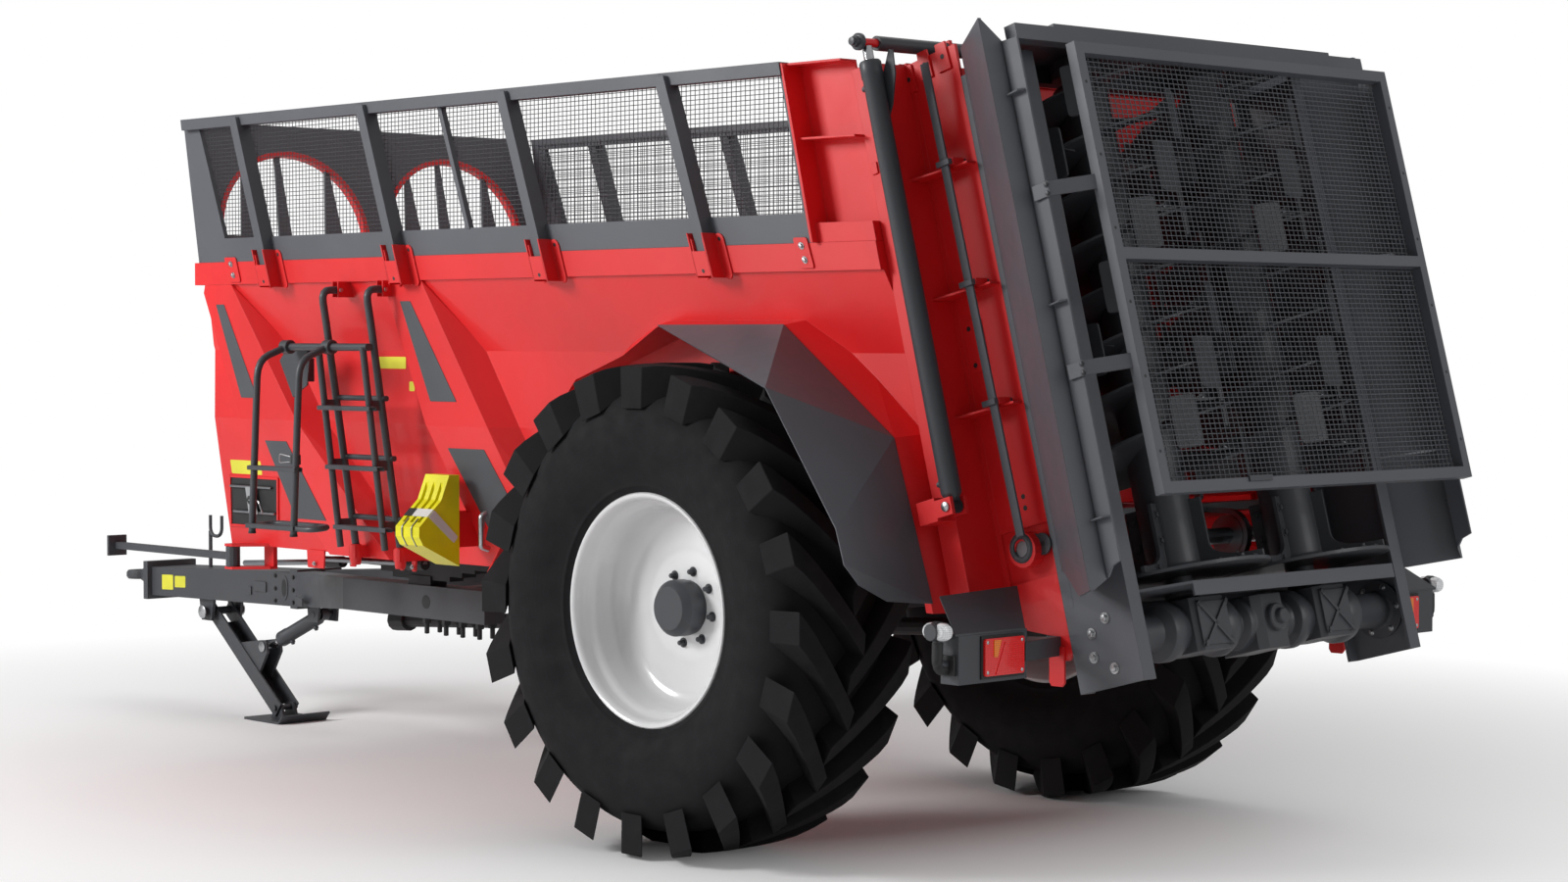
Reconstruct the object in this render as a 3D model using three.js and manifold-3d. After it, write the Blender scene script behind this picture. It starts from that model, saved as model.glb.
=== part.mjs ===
// Manure spreader: single-axle rear-discharge trailer with a sloping beater unit.
// Millimetres, +X forward (towards the towing eye), +Y left, +Z up, origin on the ground
// under the middle of the whole machine. "Machine" coordinates put X = 0 at the axle.
import * as THREE from 'three';
import { mergeVertices } from 'three/addons/utils/BufferGeometryUtils.js';
import { ConvexGeometry } from 'three/addons/geometries/ConvexGeometry.js';
import Module from 'manifold-3d';

const wasm = await Module();
wasm.setup();

// ---------------------------------------------------------------- driving dimensions

const FIT = 0.3;                    // gap between pieces that touch

// Wheels and axle
const TYRE_R = 900;
const TYRE_W = 560;
const RIM_R = 430;                  // over the flanges
const RIM_W = 400;
const RIM_WELL = 14;                // depth of the bead seat below the flange
const TRACK = 2140;
const WHEEL_SIDES = 32;
const AXLE_BEAM = 130;              // square beam
const AXLE_DROP = 100;              // centre of the beam below the chassis rails
const HUB_CAP_R = 104;
const SPINDLE_R = 40;

// Hopper
const HOPPER_FRONT = 3440;          // front of the top rail
const HOPPER_FOOT = HOPPER_FRONT + 20;   // front of the skirt
const INNER_HALF = 750;             // inside half-width between the straight walls
const FLARE_Z = 1900;               // the walls are straight up to here
const RAIL_INNER_HALF = 930;        // inside half-width at the top rail
const RAIL_HALF = 1000;             // outside half-width over the top rail
const RAIL_TOP = 2225;
const RAIL_H = 100;
const CREASE_HI = 1835;             // upper fold of the side sheet
const CREASE_LO = 1530;             // lower fold of the side sheet
const SKIRT_BOTTOM = 950;
const SHEET_HALF = 890;             // side sheet between the folds
const SKIRT_HALF = 800;
const FLOOR_TOP = 1250;
const FLOOR_T = 15;

// Wheel housing in the hopper side
const ARCH_WALL_HALF = 772;         // outside of the wall beside the tyre
const ARCH_TOP = 1930;

// Sloping rear end. Deck coordinates lie in the slope: x forward, z up along the slope.
const DECK_TILT = THREE.MathUtils.degToRad(14.9);
const DECK_X = -1649;               // foot of the beater columns, machine coordinates
const DECK_Z = 695;
const COLUMN_HALF = 775;            // outside of the beater columns
const COLUMN_D = 285;
const COLUMN_H = 2170;
const POST_REAR = 240;              // rear face of the hopper's end post, deck x
const POST_D = 90;
const POST_HALF = COLUMN_HALF + 185;
const POST_TOP = 2290;
const GATE_T = 40;
const GATE_CLEAR = 8;
const GATE_TRAVEL = 1150;

// Beaters
const BEATER_Y = 342;
const BEATER_X = -150;
const BEATER_R = 325;
const BEATER_TUBE_R = 95;
const BEATER_BOTTOM = 345;
const BEATER_TOP = 2150;
const FLIGHT_T = 14;
const PADDLE_TOP_R = 138;           // narrow enough to pass the end of the chain floor
const PADDLE_H = 250;
const SPIRAL_BOTTOM = 690;          // deck z, above the end of the chain floor
const SPIRAL_TURNS = 4;
const KNIVES = 14;

// Guard behind the beaters
const GUARD_HALF = 862;
const GUARD_X = -575;
const GUARD_BAR = 40;
const GUARD_LO = 560;
const GUARD_HI = 2090;

// Extensions on the hopper
const EXT_TOP = 2870;
const EXT_HALF = 1030;
const EXT_BOARD_H = 105;
const EXT_LEAN = 0.194;             // forward lean of the front end, per unit of height
const STANCHION_X = [2830, 1875, 920, -35];
const STANCHION_LEAN = 225;         // how far the top stands in front of the foot
const STANCHION_W = 55;
const MESH_T = 4;
const EXT_REAR_LOW = -600;
const EXT_REAR_HIGH = -440;
const EXT_BOTTOM = RAIL_TOP + FIT;

// Chassis and drawbar
const RAIL_Y = 420;                 // chassis rail centres
const RAIL_W = 100;
const CHASSIS_TOP = 1140;
const CHASSIS_BOTTOM = 1000;
const CHASSIS_FRONT = 3050;
const CHASSIS_REAR = -1220;
const DRAWBAR_HALF = 120;
const FLANGE_X = 3960;
const HITCH_X = 5310;
const EYE_TIP_X = 5650;
const EYE_Z = 645;

// Jack
const JACK_PIVOT = [4800, 505];
const JACK_FOOT = [4235, 62];
const JACK_EYE = [4360, 355];
const JACK_BASE = [3900, 545];

// Gate cylinders, in deck coordinates
const RAM_X = 196;
const RAM_Y = POST_HALF + 43;
const RAM_LOW = 700;
const RAM_HIGH = 2345;
const RAM_R = 36;
const RAM_ROD_R = 18;

// Mid-length of the machine, from the towing eye's tip to the guard's lowest corner
const GUARD_REAR = GUARD_X - GUARD_BAR / 2;
const REAR_X = DECK_X + GUARD_REAR * Math.cos(DECK_TILT) + GUARD_LO * Math.sin(DECK_TILT);
const MIDDLE_X = (EYE_TIP_X + REAR_X) / 2;

// ---------------------------------------------------------------- materials

const paint = (color, roughness = 0.35, metalness = 0.1) =>
  new THREE.MeshStandardMaterial({ color, roughness, metalness });
const RED = paint(0xd8232a);
const GREY = paint(0x44474c, 0.4);
const DARK = paint(0x33363a, 0.45);
const BLACK = paint(0x1c1c1e, 0.6);
const WHITE = paint(0xe8e8ea, 0.15);
const YELLOW = paint(0xe6dc00, 0.4);
const RUBBER = paint(0x1b1b1c, 0.85, 0);
const STEEL = paint(0x9a9da0, 0.3, 0.8);

// ---------------------------------------------------------------- solids

// A closed three.js geometry as a solid that can be joined and cut.
function solid(geometry) {
  const bare = geometry.index ? geometry.clone() : geometry;
  bare.deleteAttribute('normal');
  bare.deleteAttribute('uv');
  const merged = mergeVertices(bare, 1e-3);
  return new wasm.Manifold(new wasm.Mesh({
    numProp: 3,
    vertProperties: new Float32Array(merged.attributes.position.array),
    triVerts: new Uint32Array(merged.index.array),
  }));
}

const join = (...parts) => parts.flat().reduce((a, b) => a.add(b));
const cut = (body, ...tools) => tools.flat().reduce((a, b) => a.subtract(b), body);
const mirrorY = (body) => body.mirror([0, 1, 0]);

function box(x0, x1, y0, y1, z0, z1) {
  const geometry = new THREE.BoxGeometry(x1 - x0, y1 - y0, z1 - z0);
  return solid(geometry.translate((x0 + x1) / 2, (y0 + y1) / 2, (z0 + z1) / 2));
}

// An outline of [x, z] points, between two values of y.
function sideOutline(points, y0, y1) {
  const shape = new THREE.Shape(points.map(([x, z]) => new THREE.Vector2(x, z)));
  return extrudeAlongY(shape, y0, y1);
}

function extrudeAlongY(shape, y0, y1, curveSegments = 16) {
  const geometry = new THREE.ExtrudeGeometry(shape, { depth: y1 - y0, bevelEnabled: false, curveSegments });
  return solid(geometry.rotateX(Math.PI / 2).translate(0, y1, 0));
}

// An outline of [y, z] points, between two values of x.
function endOutline(points, x0, x1) {
  const shape = new THREE.Shape(points.map(([y, z]) => new THREE.Vector2(y, z)));
  return extrudeAlongX(shape, x0, x1);
}

function extrudeAlongX(shape, x0, x1, curveSegments = 16) {
  const geometry = new THREE.ExtrudeGeometry(shape, { depth: x1 - x0, bevelEnabled: false, curveSegments });
  const turn = new THREE.Matrix4().makeBasis(
    new THREE.Vector3(0, 1, 0), new THREE.Vector3(0, 0, 1), new THREE.Vector3(1, 0, 0));
  return solid(geometry.applyMatrix4(turn).translate(x0, 0, 0));
}

// An outline of [x, y] points, between two values of z.
function planOutline(points, z0, z1) {
  const shape = new THREE.Shape(points.map(([x, y]) => new THREE.Vector2(x, y)));
  const geometry = new THREE.ExtrudeGeometry(shape, { depth: z1 - z0, bevelEnabled: false });
  return solid(geometry.translate(0, 0, z0));
}

function hull(points) {
  return solid(new ConvexGeometry(points.map((p) => new THREE.Vector3(...p))));
}

// A round bar between two points.
function rod(from, to, r, sides = 20) {
  const a = new THREE.Vector3(...from);
  const b = new THREE.Vector3(...to);
  const geometry = new THREE.CylinderGeometry(r, r, a.distanceTo(b), sides);
  const along = b.clone().sub(a).normalize();
  geometry.applyQuaternion(new THREE.Quaternion().setFromUnitVectors(new THREE.Vector3(0, 1, 0), along));
  const middle = a.add(b).multiplyScalar(0.5);
  return solid(geometry.translate(middle.x, middle.y, middle.z));
}

// Radius of a bore whose flats clear a round pin, whichever way either is turned.
const boreOver = (pinR, sides) => pinR / Math.cos(Math.PI / sides) + FIT;

// A rectangular bar between two points: w across, h upright.
function bar(from, to, w, h) {
  const a = new THREE.Vector3(...from);
  const b = new THREE.Vector3(...to);
  const geometry = new THREE.BoxGeometry(a.distanceTo(b), w, h);
  const x = b.clone().sub(a).normalize();
  const up = Math.abs(x.z) > 0.9 ? new THREE.Vector3(1, 0, 0) : new THREE.Vector3(0, 0, 1);
  const y = up.cross(x).normalize();
  const turn = new THREE.Matrix4().makeBasis(x, y, x.clone().cross(y));
  const middle = a.add(b).multiplyScalar(0.5);
  return solid(geometry.applyMatrix4(turn).translate(middle.x, middle.y, middle.z));
}

// A bent tube through points: a ring of corners at each end and four round each bend.
function bentTube(points, r, bend = 3 * r, sides = 8) {
  const p = points.map((q) => new THREE.Vector3(...q));
  const stations = [p[0]];
  for (let i = 1; i < p.length - 1; i += 1) {
    const before = p[i].clone().add(p[i - 1].clone().sub(p[i]).setLength(bend));
    const after = p[i].clone().add(p[i + 1].clone().sub(p[i]).setLength(bend));
    stations.push(...new THREE.QuadraticBezierCurve3(before, p[i], after).getPoints(3));
  }
  stations.push(p[p.length - 1]);
  const positions = [];
  let across = new THREE.Vector3(0.6, 0.5, 0.3);
  stations.forEach((at, i) => {
    const ahead = stations[Math.min(i + 1, stations.length - 1)].clone();
    const along = ahead.sub(stations[Math.max(i - 1, 0)]).normalize();
    across = across.addScaledVector(along, -across.dot(along)).normalize();
    const third = along.clone().cross(across);
    for (let k = 0; k < sides; k += 1) {
      const a = (k / sides) * 2 * Math.PI;
      const corner = at.clone().addScaledVector(across, r * Math.cos(a)).addScaledVector(third,
        r * Math.sin(a));
      positions.push(...corner.toArray());
    }
  });
  return solid(loft(positions, stations.length, sides));
}

// The closed skin over a row of equal rings of corners, with flat ends.
function loft(positions, rings, sides) {
  const index = [];
  for (let i = 0; i < rings - 1; i += 1) {
    for (let k = 0; k < sides; k += 1) {
      const a = sides * i + k;
      const b = sides * i + ((k + 1) % sides);
      index.push(a, b, b + sides, a, b + sides, a + sides);
    }
  }
  const last = sides * (rings - 1);
  for (let k = 1; k < sides - 1; k += 1) index.push(0, k + 1, k, last, last + k, last + k + 1);
  const geometry = new THREE.BufferGeometry();
  geometry.setAttribute('position', new THREE.BufferAttribute(new Float32Array(positions), 3));
  geometry.setIndex(index);
  return geometry;
}

// A ring about the Y axis from an [r, y] outline.
function ringAboutY(profile, sides) {
  const points = profile.map(([r, y]) => new THREE.Vector2(r, y));
  return solid(new THREE.LatheGeometry([...points, points[0]], sides));
}

// A ring about the Z axis from an [r, z] outline.
function ringAboutZ(profile, sides) {
  const points = profile.map(([r, z]) => new THREE.Vector2(r, z));
  return solid(new THREE.LatheGeometry([...points, points[0]], sides).rotateX(Math.PI / 2));
}

// x of the extension's front and rear ends at a given height.
const extFrontX = (z) => HOPPER_FRONT + (z - RAIL_TOP) * EXT_LEAN;
const extRearX = (z) => EXT_REAR_LOW + (EXT_REAR_HIGH - EXT_REAR_LOW) * (z - EXT_BOTTOM) / (EXT_TOP - EXT_BOTTOM);

// ---------------------------------------------------------------- scene graph

const spreader = new THREE.Group();
const machine = new THREE.Group();
machine.position.x = -MIDDLE_X;
spreader.add(machine);
const deck = new THREE.Group();
deck.position.set(DECK_X, 0, DECK_Z);
deck.rotation.y = DECK_TILT;
machine.add(deck);

function place(group, name, body, material) {
  const { numProp, vertProperties, triVerts } = body.getMesh();
  const positions = new Float32Array((vertProperties.length / numProp) * 3);
  for (let i = 0; i < positions.length / 3; i += 1) {
    for (let k = 0; k < 3; k += 1) positions[3 * i + k] = vertProperties[numProp * i + k];
  }
  const geometry = new THREE.BufferGeometry();
  geometry.setAttribute('position', new THREE.BufferAttribute(positions, 3));
  geometry.setIndex(new THREE.BufferAttribute(new Uint32Array(triVerts), 1));
  const mesh = new THREE.Mesh(geometry, material);
  mesh.name = name;
  group.add(mesh);
}

// A piece and its mirror image on the right-hand side.
function placePair(group, name, body, material) {
  place(group, `${name}_left`, body, material);
  place(group, `${name}_right`, mirrorY(body), material);
}

// Deck coordinates to machine coordinates, for the pieces that meet across the slope.
function deckPoint(x, z) {
  const c = Math.cos(DECK_TILT);
  const s = Math.sin(DECK_TILT);
  return [DECK_X + x * c + z * s, DECK_Z - x * s + z * c];
}

// A half-space block in front of the sloping plane at deck x, reaching far forward.
function aheadOf(deckX, reach = 6000) {
  const [x0, z0] = deckPoint(deckX, -1500);
  const [x1, z1] = deckPoint(deckX, 4500);
  return sideOutline([[x0, z0], [x0 + reach, z0], [x1 + reach, z1], [x1, z1]], -2000, 2000);
}

// ---------------------------------------------------------------- wheels and axle

function tyre() {
  const h = TYRE_W / 2;
  const r = TYRE_R;
  const [bead, flange] = [RIM_R - RIM_WELL + FIT, RIM_R + FIT];
  const half = [
    [bead, RIM_W / 2 - 18], [flange, RIM_W / 2 - 6], [flange, RIM_W / 2 + 8], [RIM_R + 60, h - 20],
    [RIM_R + 170, h], [r - 120, h], [r - 30, h - 15], [r, h - 30],
  ];
  const other = half.map(([radius, y]) => [radius, -y]);
  return ringAboutY([...other, ...half.reverse()], WHEEL_SIDES);
}

function rim() {
  const w = RIM_W / 2;
  const r = RIM_R;
  const discT = 18;
  const outline = [
    [100, -discT], [250, -discT], [r - 75, -discT - 40], [r - 45, -w + 60], [r - 30, -w - 8], [r, -w - 8],
    [r, -w + 6], [r - RIM_WELL, -w + 18], [r - RIM_WELL, w - 18], [r, w - 6], [r, w + 8], [r - 36, w + 8],
    [r - 60, w - 70], [r - 72, 30], [250, 0], [100, 0],
  ];
  return ringAboutY(outline, WHEEL_SIDES);
}

function hub() {
  const flange = rod([0, -2 * 18 - 90, 0], [0, -18 - FIT, 0], 175, 16);
  const neck = rod([0, -60, 0], [0, 60, 0], 100 - FIT, WHEEL_SIDES);
  const cap = ringAboutY([[0, 20], [HUB_CAP_R, 20], [HUB_CAP_R, 78], [HUB_CAP_R - 24, 100], [0, 100]], 16);
  const seat = rod([0, -200, 0], [0, 30, 0], boreOver(SPINDLE_R, 24), 24);
  return cut(join(flange, neck, cap.translate([0, FIT, 0])), seat);
}

function axle() {
  const halfBeam = TRACK / 2 - 175;
  const h = AXLE_BEAM / 2;
  const z = CHASSIS_BOTTOM - AXLE_DROP;
  const beam = box(-h, h, -halfBeam, halfBeam, z - h, z + h);
  const [endLow, endHigh] = [Math.min(z, TYRE_R) - h, Math.max(z, TYRE_R) + h];
  const ends = [1, -1].map((side) =>
    box(-h, h, side > 0 ? halfBeam - 60 : -halfBeam, side > 0 ? halfBeam : 60 - halfBeam, endLow, endHigh));
  const spindles = [1, -1].map((side) =>
    rod([0, side * (halfBeam - 10), TYRE_R], [0, side * (TRACK / 2 + 20), TYRE_R], SPINDLE_R, 24));
  const pads = [1, -1].map((side) => box(-150, 150, side * RAIL_Y - RAIL_W / 2, side * RAIL_Y + RAIL_W / 2,
    z + h - 5, CHASSIS_BOTTOM - FIT));
  return join(beam, ends, spindles, pads);
}

function addWheels() {
  place(machine, 'axle', axle(), DARK);
  for (const [side, y] of [['left', TRACK / 2], ['right', -TRACK / 2]]) {
    const turn = (body) => (side === 'left' ? body : mirrorY(body)).translate([0, y, TYRE_R]);
    place(machine, `tyre_${side}`, turn(tyre()), RUBBER);
    place(machine, `rim_${side}`, turn(rim()), WHITE);
    place(machine, `hub_${side}`, turn(hub()), DARK);
  }
}

// ---------------------------------------------------------------- hopper

// Side silhouette of the hopper's front end: [x, z] from the rail down to the skirt.
const frontLine = [
  [HOPPER_FRONT - 80, RAIL_TOP - RAIL_H], [HOPPER_FRONT + 10, CREASE_HI + 20],
  [HOPPER_FOOT, 1350], [HOPPER_FOOT, SKIRT_BOTTOM],
];

// Deck x of the hopper's rear end, just in front of the gate.
const HOPPER_END_DECK_X = POST_REAR + POST_D / 2 + GATE_T / 2 + GATE_CLEAR;

// Deck z at which a point of given deck x stands at a given height above the ground.
function deckHeight(x, z) {
  return (z - DECK_Z + x * Math.sin(DECK_TILT)) / Math.cos(DECK_TILT);
}

// Everything between the hopper's front line and the gate's plane.
function hopperEnvelope(z0, z1) {
  const [xTop] = deckPoint(HOPPER_END_DECK_X, (RAIL_TOP - DECK_Z) / Math.cos(DECK_TILT));
  const length = sideOutline([
    [HOPPER_FRONT, z1], [HOPPER_FRONT, RAIL_TOP - RAIL_H], ...frontLine, [xTop - 2000, z0],
      [xTop - 2000, z1],
  ], -1500, 1500);
  return length.intersect(aheadOf(HOPPER_END_DECK_X));
}

// A raised rib: [front x, rear x] at the rail, the lower fold and the skirt.
function sideRib(top, middle, bottom) {
  const zs = [RAIL_TOP - RAIL_H + 1, CREASE_LO, SKIRT_BOTTOM];
  const crest = [RAIL_HALF - 2, RAIL_HALF - 12, SKIRT_HALF + 85];
  const base = SKIRT_HALF - 30;
  const spread = [[20, 40], [30, 190], [30, 120]];
  const row = (i, [front, rear]) => [
    [front, crest[i], zs[i]], [rear, crest[i], zs[i]],
    [front + spread[i][0], base, zs[i]], [rear - spread[i][1], base, zs[i]],
  ];
  return join(hull([...row(0, top), ...row(1, middle)]), hull([...row(1, middle), ...row(2, bottom)]));
}

const archLine = [
  [1290, SKIRT_BOTTOM - 100], [1240, 1100], [990, 1600], [870, 1725], [250, ARCH_TOP], [-440, ARCH_TOP],
  [-990, 1540], [-1175, SKIRT_BOTTOM - 100],
];

function archRim() {
  const outer = [
    [1330, SKIRT_BOTTOM], [1010, 1650], [900, 1760], [300, 1990], [-560, 1990], [-1090, 1570],
      [-1290, SKIRT_BOTTOM],
  ];
  const base = SKIRT_HALF - 40;
  const crest = RAIL_HALF;
  const face = [[1300, SKIRT_BOTTOM], [250, ARCH_TOP + 6], [-440, ARCH_TOP + 6], [-995, 1545],
    [-1180, SKIRT_BOTTOM]];
  return hull([...outer.map(([x, z]) => [x, base, z]), ...face.map(([x, z]) => [x, crest, z])]);
}

// How far a stanchion stands forward at a given height of where it meets the board's foot.
const STANCHION_FOOT = 30;           // above the rail, where a stanchion's x is measured
const STANCHION_TOP_GAP = 12;
function stanchionShift(z) {
  const height = EXT_TOP - STANCHION_TOP_GAP - EXT_BOTTOM - STANCHION_FOOT;
  return (STANCHION_LEAN * (z - EXT_BOTTOM - STANCHION_FOOT)) / height;
}

// An upright block that leans with the stanchions.
function leaning(x0, x1, y0, y1, z0, z1) {
  const [low, high] = [stanchionShift(z0), stanchionShift(z1)];
  return sideOutline([[x0 + low, z0], [x1 + low, z0], [x1 + high, z1], [x0 + high, z1]], y0, y1);
}

// Brackets on the rail that hold the feet of the extension's stanchions.
const BRACKET_T = 8;
function stanchionBrackets() {
  const [y0, y1] = [RAIL_HALF - 5, RAIL_HALF + 62];
  const [low, high] = [RAIL_TOP - 88, RAIL_TOP + 25];
  return STANCHION_X.flatMap((x) => {
    const half = STANCHION_W / 2 + 2;
    return [-half - BRACKET_T, half].flatMap((dx) => [
      leaning(x + dx, x + dx + BRACKET_T, y0, y1, low, RAIL_TOP),
      leaning(x + dx, x + dx + BRACKET_T, RAIL_HALF + FIT, y1, RAIL_TOP - 1, high),
    ]).concat(leaning(x - half - BRACKET_T, x + half + BRACKET_T, y0, y1, low, low + 12));
  });
}

function hopperSide() {
  const outline = [
    [INNER_HALF, FLOOR_TOP - FLOOR_T - 60], [INNER_HALF, FLARE_Z], [RAIL_INNER_HALF, RAIL_TOP],
    [RAIL_HALF, RAIL_TOP], [RAIL_HALF, RAIL_TOP - RAIL_H], [RAIL_HALF - 15, RAIL_TOP - RAIL_H],
    [SHEET_HALF, CREASE_HI], [SHEET_HALF, CREASE_LO], [SKIRT_HALF, SKIRT_BOTTOM], [INNER_HALF, SKIRT_BOTTOM],
  ];
  const sheet = endOutline(outline, -2500, HOPPER_FRONT + 200);
  const ribs = [
    sideRib([3390, 3150], [3100, 2660], [2560, 2120]),
    sideRib([2000, 1740], [1720, 1310], [1400, 1010]),
  ];
  const arch = sideOutline(archLine, ARCH_WALL_HALF, RAIL_HALF + 200);
  const inside = endOutline([
    [-10, SKIRT_BOTTOM - 50], [INNER_HALF, SKIRT_BOTTOM - 50], [INNER_HALF, FLARE_Z],
    [RAIL_INNER_HALF, RAIL_TOP], [RAIL_INNER_HALF, RAIL_TOP + 50], [-10, RAIL_TOP + 50],
  ], -3000, HOPPER_FRONT + 300);
  const postRoom = sideOutline([
    deckPoint(POST_REAR - 400, -600), deckPoint(POST_REAR + POST_D + FIT, -600),
    deckPoint(POST_REAR + POST_D + FIT, 2400), deckPoint(POST_REAR - 400, 2400),
  ], INNER_HALF + 20, RAIL_HALF + 200);
  const body = join(sheet, ribs, archRim()).intersect(hopperEnvelope(SKIRT_BOTTOM, RAIL_TOP));
  const axleRoom = box(archLine[7][0], archLine[0][0], INNER_HALF - 50, ARCH_WALL_HALF + 5,
    SKIRT_BOTTOM - 50, CHASSIS_TOP - 45);
  return join(cut(body, arch, inside, postRoom, axleRoom), stanchionBrackets());
}

const FRONT_WALL_T = 70;

function hopperFront() {
  const inner = [...frontLine].reverse().map(([x, z]) => [x - FRONT_WALL_T, z]);
  const sheet = sideOutline([
    [HOPPER_FRONT, RAIL_TOP], [HOPPER_FRONT, RAIL_TOP - RAIL_H], ...frontLine, ...inner,
    [HOPPER_FRONT - 80 - FRONT_WALL_T, RAIL_TOP],
  ], -1500, 1500);
  const room = endOutline([
    [-INNER_HALF + FIT, SKIRT_BOTTOM], [INNER_HALF - FIT, SKIRT_BOTTOM], [INNER_HALF - FIT, FLARE_Z],
    [RAIL_INNER_HALF - FIT, RAIL_TOP], [-RAIL_INNER_HALF + FIT, RAIL_TOP], [-INNER_HALF + FIT, FLARE_Z],
  ], 0, 5000);
  return sheet.intersect(room);
}

// x of the front wall's inner face at the floor.
const FRONT_INNER_X = HOPPER_FOOT - FRONT_WALL_T;

// Chain floor: two endless chains with slats, sliding over the floor plate.
const CHAIN_Y = 300;
const CHAIN_T = 18;
const SHAFT_X = -1418;
const SHAFT_Z = 1171;
const SHAFT_R = 30;
const CHAIN_R = FLOOR_TOP + FIT + CHAIN_T - SHAFT_Z;   // outside of the chain round its sprockets
const CHAIN_FRONT_X = 3000;
const CHAIN_CLEAR = 5;
const SLAT_PITCH = 440;

function chainLoop(r) {
  const path = new THREE.Shape();
  path.moveTo(CHAIN_FRONT_X, r);
  path.lineTo(SHAFT_X, r);
  path.absarc(SHAFT_X, 0, r, Math.PI / 2, 1.5 * Math.PI);
  path.lineTo(CHAIN_FRONT_X, -r);
  path.absarc(CHAIN_FRONT_X, 0, r, -Math.PI / 2, Math.PI / 2);
  return path;
}

function chainFloor() {
  const chains = [1, -1].map((side) => {
    const y = side * CHAIN_Y;
    const band = cut(extrudeAlongY(chainLoop(CHAIN_R), y - 14, y + 14, 6),
      extrudeAlongY(chainLoop(CHAIN_R - CHAIN_T), y - 30, y + 30, 6));
    return band.translate([0, 0, SHAFT_Z]);
  });
  const slats = [];
  for (let x = SHAFT_X + 120; x < CHAIN_FRONT_X; x += SLAT_PITCH) {
    slats.push(box(x - 25, x + 25, -INNER_HALF + 25, INNER_HALF - 25,
      FLOOR_TOP + FIT + 4, FLOOR_TOP + FIT + 34));
  }
  return join(chains, slats);
}

function chainShaft() {
  const at = (y) => [SHAFT_X, y, SHAFT_Z];
  const half = COLUMN_HALF + 35;
  const sprockets = [1, -1].map((side) =>
    rod(at(side * CHAIN_Y - 12), at(side * CHAIN_Y + 12), CHAIN_R - CHAIN_T - CHAIN_CLEAR, 16));
  return join(rod(at(-half), at(half), SHAFT_R, 16), sprockets);
}

function hopperFloor() {
  const plate = box(SHAFT_X + 85, FRONT_INNER_X - FIT, -INNER_HALF + FIT, INNER_HALF - FIT,
    FLOOR_TOP - FLOOR_T, FLOOR_TOP);
  const slots = [1, -1].map((side) => box(CHAIN_FRONT_X - 10, CHAIN_FRONT_X + CHAIN_R + 12,
    side * CHAIN_Y - 22, side * CHAIN_Y + 22, FLOOR_TOP - 50, FLOOR_TOP + 50));
  return cut(plate, slots);
}

// ---------------------------------------------------------------- chassis, drawbar, jack

function chassis() {
  const rails = [1, -1].map((side) => box(CHASSIS_REAR, CHASSIS_FRONT,
    side * RAIL_Y - RAIL_W / 2, side * RAIL_Y + RAIL_W / 2, CHASSIS_BOTTOM, CHASSIS_TOP));
  const cross = [];
  for (const x of [CHASSIS_REAR + 60, -600, 0, 600, 1250, 1900, 2500, 2980]) {
    cross.push(box(x - 40, x + 40, -INNER_HALF + FIT, INNER_HALF - FIT,
      CHASSIS_TOP - 40, FLOOR_TOP - FLOOR_T - FIT));
  }
  return join(rails, cross);
}

const DRAWBAR_RAIL_TOP = 800;
const DRAWBAR_RAIL_BOTTOM = 655;
const DRAWBAR_REAR = 2000;

function drawbar() {
  const front = sideOutline([[FLANGE_X, 585], [HITCH_X - 20, 560], [HITCH_X - 20, 705], [FLANGE_X, 755]],
    -DRAWBAR_HALF, DRAWBAR_HALF);
  const flange = box(FLANGE_X - 30, FLANGE_X + 30, -DRAWBAR_HALF - 10, DRAWBAR_HALF + 10, 575, 765);
  const plate = box(HITCH_X - 40, HITCH_X, -DRAWBAR_HALF - 25, DRAWBAR_HALF + 25, 540, 735);
  const legs = [1, -1].map((side) => {
    const y = side * RAIL_Y;
    const fork = hull([
      ...[585, 755].flatMap((z) => [[FLANGE_X, side * 15, z], [FLANGE_X, side * DRAWBAR_HALF, z]]),
      ...[DRAWBAR_RAIL_BOTTOM, DRAWBAR_RAIL_TOP].flatMap((z) => [[CHASSIS_FRONT, y - 55, z],
        [CHASSIS_FRONT, y + 55, z]]),
    ]);
    const tail = box(DRAWBAR_REAR, CHASSIS_FRONT + 1, y - 55, y + 55, DRAWBAR_RAIL_BOTTOM, DRAWBAR_RAIL_TOP);
    return join(fork, tail);
  });
  const tie = box(2450, 2530, -RAIL_Y, RAIL_Y, 680, 775);
  const jackEars = [1, -1].map((side) => sideOutline([
    [JACK_PIVOT[0] - 70, 590], [JACK_PIVOT[0] + 70, 590], [JACK_PIVOT[0] + 45, JACK_PIVOT[1] - 45],
    [JACK_PIVOT[0] - 45, JACK_PIVOT[1] - 45],
  ], side > 0 ? 75 : -90, side > 0 ? 90 : -75));
  const ramEars = [1, -1].map((side) => sideOutline([
    [JACK_BASE[0] - 60, 680], [JACK_BASE[0] + 60, 680], [JACK_BASE[0] + 40, JACK_BASE[1] - 35],
    [JACK_BASE[0] - 40, JACK_BASE[1] - 35],
  ], side > 0 ? 48 : -60, side > 0 ? 60 : -48));
  const ramPin = rod([JACK_BASE[0], -62, JACK_BASE[1]], [JACK_BASE[0], 62, JACK_BASE[1]], RAM_PIN_R, 12);
  const ramBlock = box(JACK_BASE[0] - 60, JACK_BASE[0] + 60, -60, 60, 640, 700);
  return join(front, flange, plate, legs, tie, jackEars, ramEars, ramPin, ramBlock, hoseHook());
}

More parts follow.
